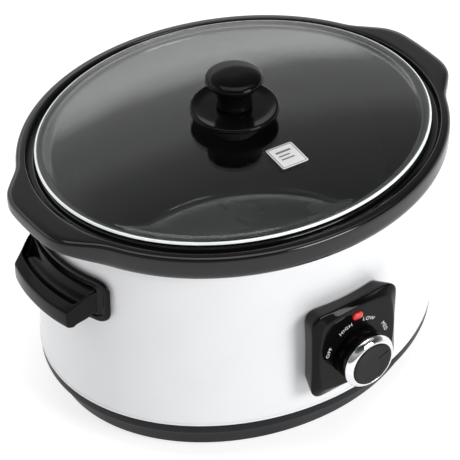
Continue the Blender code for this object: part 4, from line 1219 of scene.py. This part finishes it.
def film(name, left, right, low, high, corner, lift, thick, turn=-4.0):
    """A thin rounded oblong of film that lies on the dome."""
    cells = 12
    work = bmesh.new()
    grid = {}
    for i in range(cells + 1):
        for j in range(cells + 1):
            u = left + (right - left) * i / cells
            v = low + (high - low) * j / cells
            cx = min(max(u, left + corner), right - corner)
            cy = min(max(v, low + corner), high - corner)
            far = max(abs(u - cx), abs(v - cy))
            length = math.hypot(u - cx, v - cy)
            if length > 0:
                u = cx + (u - cx) * far / length
                v = cy + (v - cy) * far / length
            t = math.radians(turn)
            x = LABEL_X + u * math.cos(t) - v * math.sin(t)
            y = LABEL_Y + u * math.sin(t) + v * math.cos(t)
            grid[i, j] = work.verts.new((x, y, dome_height(x, y) + lift))
    for i in range(cells):
        for j in range(cells):
            work.faces.new((grid[i, j], grid[i + 1, j], grid[i + 1, j + 1], grid[i, j + 1]))
    raised = bmesh.ops.extrude_face_region(work, geom=list(work.faces))["geom"]
    moved = [item for item in raised if isinstance(item, bmesh.types.BMVert)]
    bmesh.ops.translate(work, verts=moved, vec=(0, 0, thick))
    mesh = bpy.data.meshes.new(name)
    work.to_mesh(mesh)
    work.free()
    return mesh


film_white, n, link, shader = material("white_film")
marks = use_group(n, handled, Patch_Scale=150.0, Speck_Scale=2600.0)
tint(n, link, marks.outputs["Speck"], (0.80, 0.80, 0.80), (0.66, 0.66, 0.66), shader)
between(n, link, marks.outputs["Smear"], 0.30, 0.44, shader.inputs["Roughness"])
film_sides = (-LABEL_HALF_X, LABEL_HALF_X, -LABEL_HALF_Y, LABEL_HALF_Y)
film_mesh = film("label_film", *film_sides, corner=0.0012, lift=0.00015, thick=0.00010)
film_piece = piece("label_film", film_mesh, "lid", ["lid_label"], 0)
film_piece.data.materials.append(film_white)

grey_ink, n, link, shader = material("grey_ink")
marks = use_group(n, handled, Patch_Scale=260.0, Speck_Scale=6000.0)
tint(n, link, marks.outputs["Speck"], (0.16, 0.16, 0.16), (0.34, 0.34, 0.34), shader)
between(n, link, marks.outputs["Smear"], 0.40, 0.55, shader.inputs["Roughness"])
bars = []
W = LABEL_HALF_X - 0.0010
H = LABEL_HALF_Y - 0.0010
LINE = 0.0006
for sides in (
    (-W, W, H - LINE, H),
    (-W, W, -H, -H + LINE),
    (-W, -W + LINE, -H, H),
    (W - LINE, W, -H, H),
    (-0.0062, 0.0062, 0.0042, 0.0062),
    (-0.0062, 0.0030, 0.0002, 0.0016),
    (-0.0062, 0.0046, -0.0036, -0.0022),
):
    bars.append(film("bar", *sides, corner=0.00005, lift=0.00026, thick=0.00002))
ink = piece("label_print", join("label_print", bars), "lid", (), 0)
ink.data.materials.append(grey_ink)

# ---- Washer and seal under the glass ----
# A satin black moulded washer and a translucent silicone ring clamp the glass from below.
# Both keep their frame shapes, since the glass hides all but their outline.

washer_black, n, link, shader = material("washer_moulding")
marks = use_group(n, handled, Patch_Scale=80.0, Speck_Scale=1800.0)
peel = use_group(n, texture, Fine_Scale=2400.0, Broad_Scale=140.0)
tint(n, link, peel.outputs["Broad"], (0.010, 0.010, 0.012), (0.020, 0.020, 0.022), shader)
between(n, link, marks.outputs["Smear"], 0.30, 0.45, shader.inputs["Roughness"])
relief(n, link, peel.outputs["Fine"], shader, 0.15, 0.0001)


def finish(made, *names):
    """Gives frame nodes a finish in place of their plain one."""
    for name in names:
        nodes[name].data.materials.clear()
        nodes[name].data.materials.append(made)


finish(washer_black, "lid_washer")
silicone, n, link, shader = material("seal_silicone")
marks = use_group(n, handled, Patch_Scale=90.0, Speck_Scale=2000.0)
tint(n, link, marks.outputs["Smear"], (0.50, 0.50, 0.48), (0.62, 0.62, 0.60), shader)
between(n, link, marks.outputs["Smear"], 0.45, 0.62, shader.inputs["Roughness"])
finish(silicone, "lid_seal")

# ---- Heating well, band and strap ----
# The well is pressed from soft aluminium sheet and hangs from the top of the wall.  A mica-wound
# element is held round it by a steel strap, out of sight behind the wall.

aluminium, n, link, shader = material("pressed_aluminium")
marks = use_group(n, handled, Patch_Scale=12.0, Speck_Scale=420.0)
peel = use_group(n, texture, Fine_Scale=800.0, Broad_Scale=40.0)
tint(n, link, peel.outputs["Broad"], (0.60, 0.61, 0.63), (0.74, 0.75, 0.77), shader)
between(n, link, marks.outputs["Smear"], 0.32, 0.50, shader.inputs["Roughness"])
relief(n, link, peel.outputs["Fine"], shader, 0.10, 0.0003)
shader.inputs["Metallic"].default_value = 1.0
finish(aluminium, "heating_well")
mica, n, link, shader = material("mica_band")
weave = n.new("ShaderNodeTexWave")
weave.inputs["Scale"].default_value = 60.0
weave.inputs["Distortion"].default_value = 2.0
tint(n, link, weave.outputs["Fac"], (0.34, 0.25, 0.15), (0.52, 0.42, 0.28), shader)
between(n, link, weave.outputs["Fac"], 0.50, 0.70, shader.inputs["Roughness"])
relief(n, link, weave.outputs["Fac"], shader, 0.30, 0.0003)
finish(mica, "heating_band")

# ---- Plated steel: strap, plate, bolt, screws, bracket and shaft ----
# Small fixings and pressings in bright zinc plate, a little blotchy and cloudy, as zinc dulls.

zinc, n, link, shader = material("zinc_plate")
marks = use_group(n, handled, Patch_Scale=45.0, Speck_Scale=1200.0)
peel = use_group(n, texture, Fine_Scale=1800.0, Broad_Scale=120.0)
tint(n, link, peel.outputs["Broad"], (0.46, 0.47, 0.49), (0.64, 0.65, 0.67), shader)
between(n, link, marks.outputs["Smear"], 0.28, 0.48, shader.inputs["Roughness"])
relief(n, link, peel.outputs["Fine"], shader, 0.10, 0.0001)
shader.inputs["Metallic"].default_value = 1.0
finish(zinc, "band_strap", "bottom_plate", "switch_bracket", "switch_shaft", "thermal_fuse")
finish(zinc, "tie_bolt", "tie_nut", "tie_washer", "lid_screw")
finish(zinc, *[name for name in nodes if "_screw_" in name])

# ---- Switch, terminal block and lamp ----
# Natural nylon mouldings and a small neon in clear glass, all inside the housing.

nylon, n, link, shader = material("natural_nylon")
marks = use_group(n, handled, Patch_Scale=60.0, Speck_Scale=1500.0)
peel = use_group(n, texture, Fine_Scale=1500.0, Broad_Scale=70.0)
tint(n, link, peel.outputs["Broad"], (0.66, 0.64, 0.57), (0.76, 0.74, 0.68), shader)
between(n, link, marks.outputs["Smear"], 0.38, 0.55, shader.inputs["Roughness"])
relief(n, link, peel.outputs["Fine"], shader, 0.10, 0.0002)
finish(nylon, "rotary_switch", "terminal_block")
neon, n, link, shader = material("neon_glass")
marks = use_group(n, handled, Patch_Scale=200.0, Speck_Scale=2400.0)
tint(n, link, marks.outputs["Smear"], (0.90, 0.92, 0.92), (0.96, 0.97, 0.97), shader)
between(n, link, marks.outputs["Smear"], 0.01, 0.05, shader.inputs["Roughness"])
shader.inputs["Transmission Weight"].default_value = 1.0
shader.inputs["IOR"].default_value = 1.47
finish(neon, "neon_lamp")

# ---- Leads and cord gland ----
# Sleeved leads in brown, blue and white, and a rubber gland pressed into the back of the wall.


def sleeve(name, low, high):
    made, n, link, shader = material(name)
    marks = use_group(n, handled, Patch_Scale=90.0, Speck_Scale=2600.0)
    braid = n.new("ShaderNodeTexWave")
    braid.inputs["Scale"].default_value = 260.0
    tint(n, link, marks.outputs["Smear"], low, high, shader)
    between(n, link, braid.outputs["Fac"], 0.45, 0.60, shader.inputs["Roughness"])
    relief(n, link, braid.outputs["Fac"], shader, 0.15, 0.0001)
    return made


finish(sleeve("brown_sleeve", (0.17, 0.065, 0.028), (0.22, 0.09, 0.04)), "lead_switch")
finish(sleeve("blue_sleeve", (0.022, 0.075, 0.36), (0.03, 0.10, 0.45)), "lead_element")
finish(sleeve("white_sleeve", (0.66, 0.66, 0.64), (0.78, 0.78, 0.76)), "lead_supply", "fuse_lead")
finish(rubber, "cord_gland")
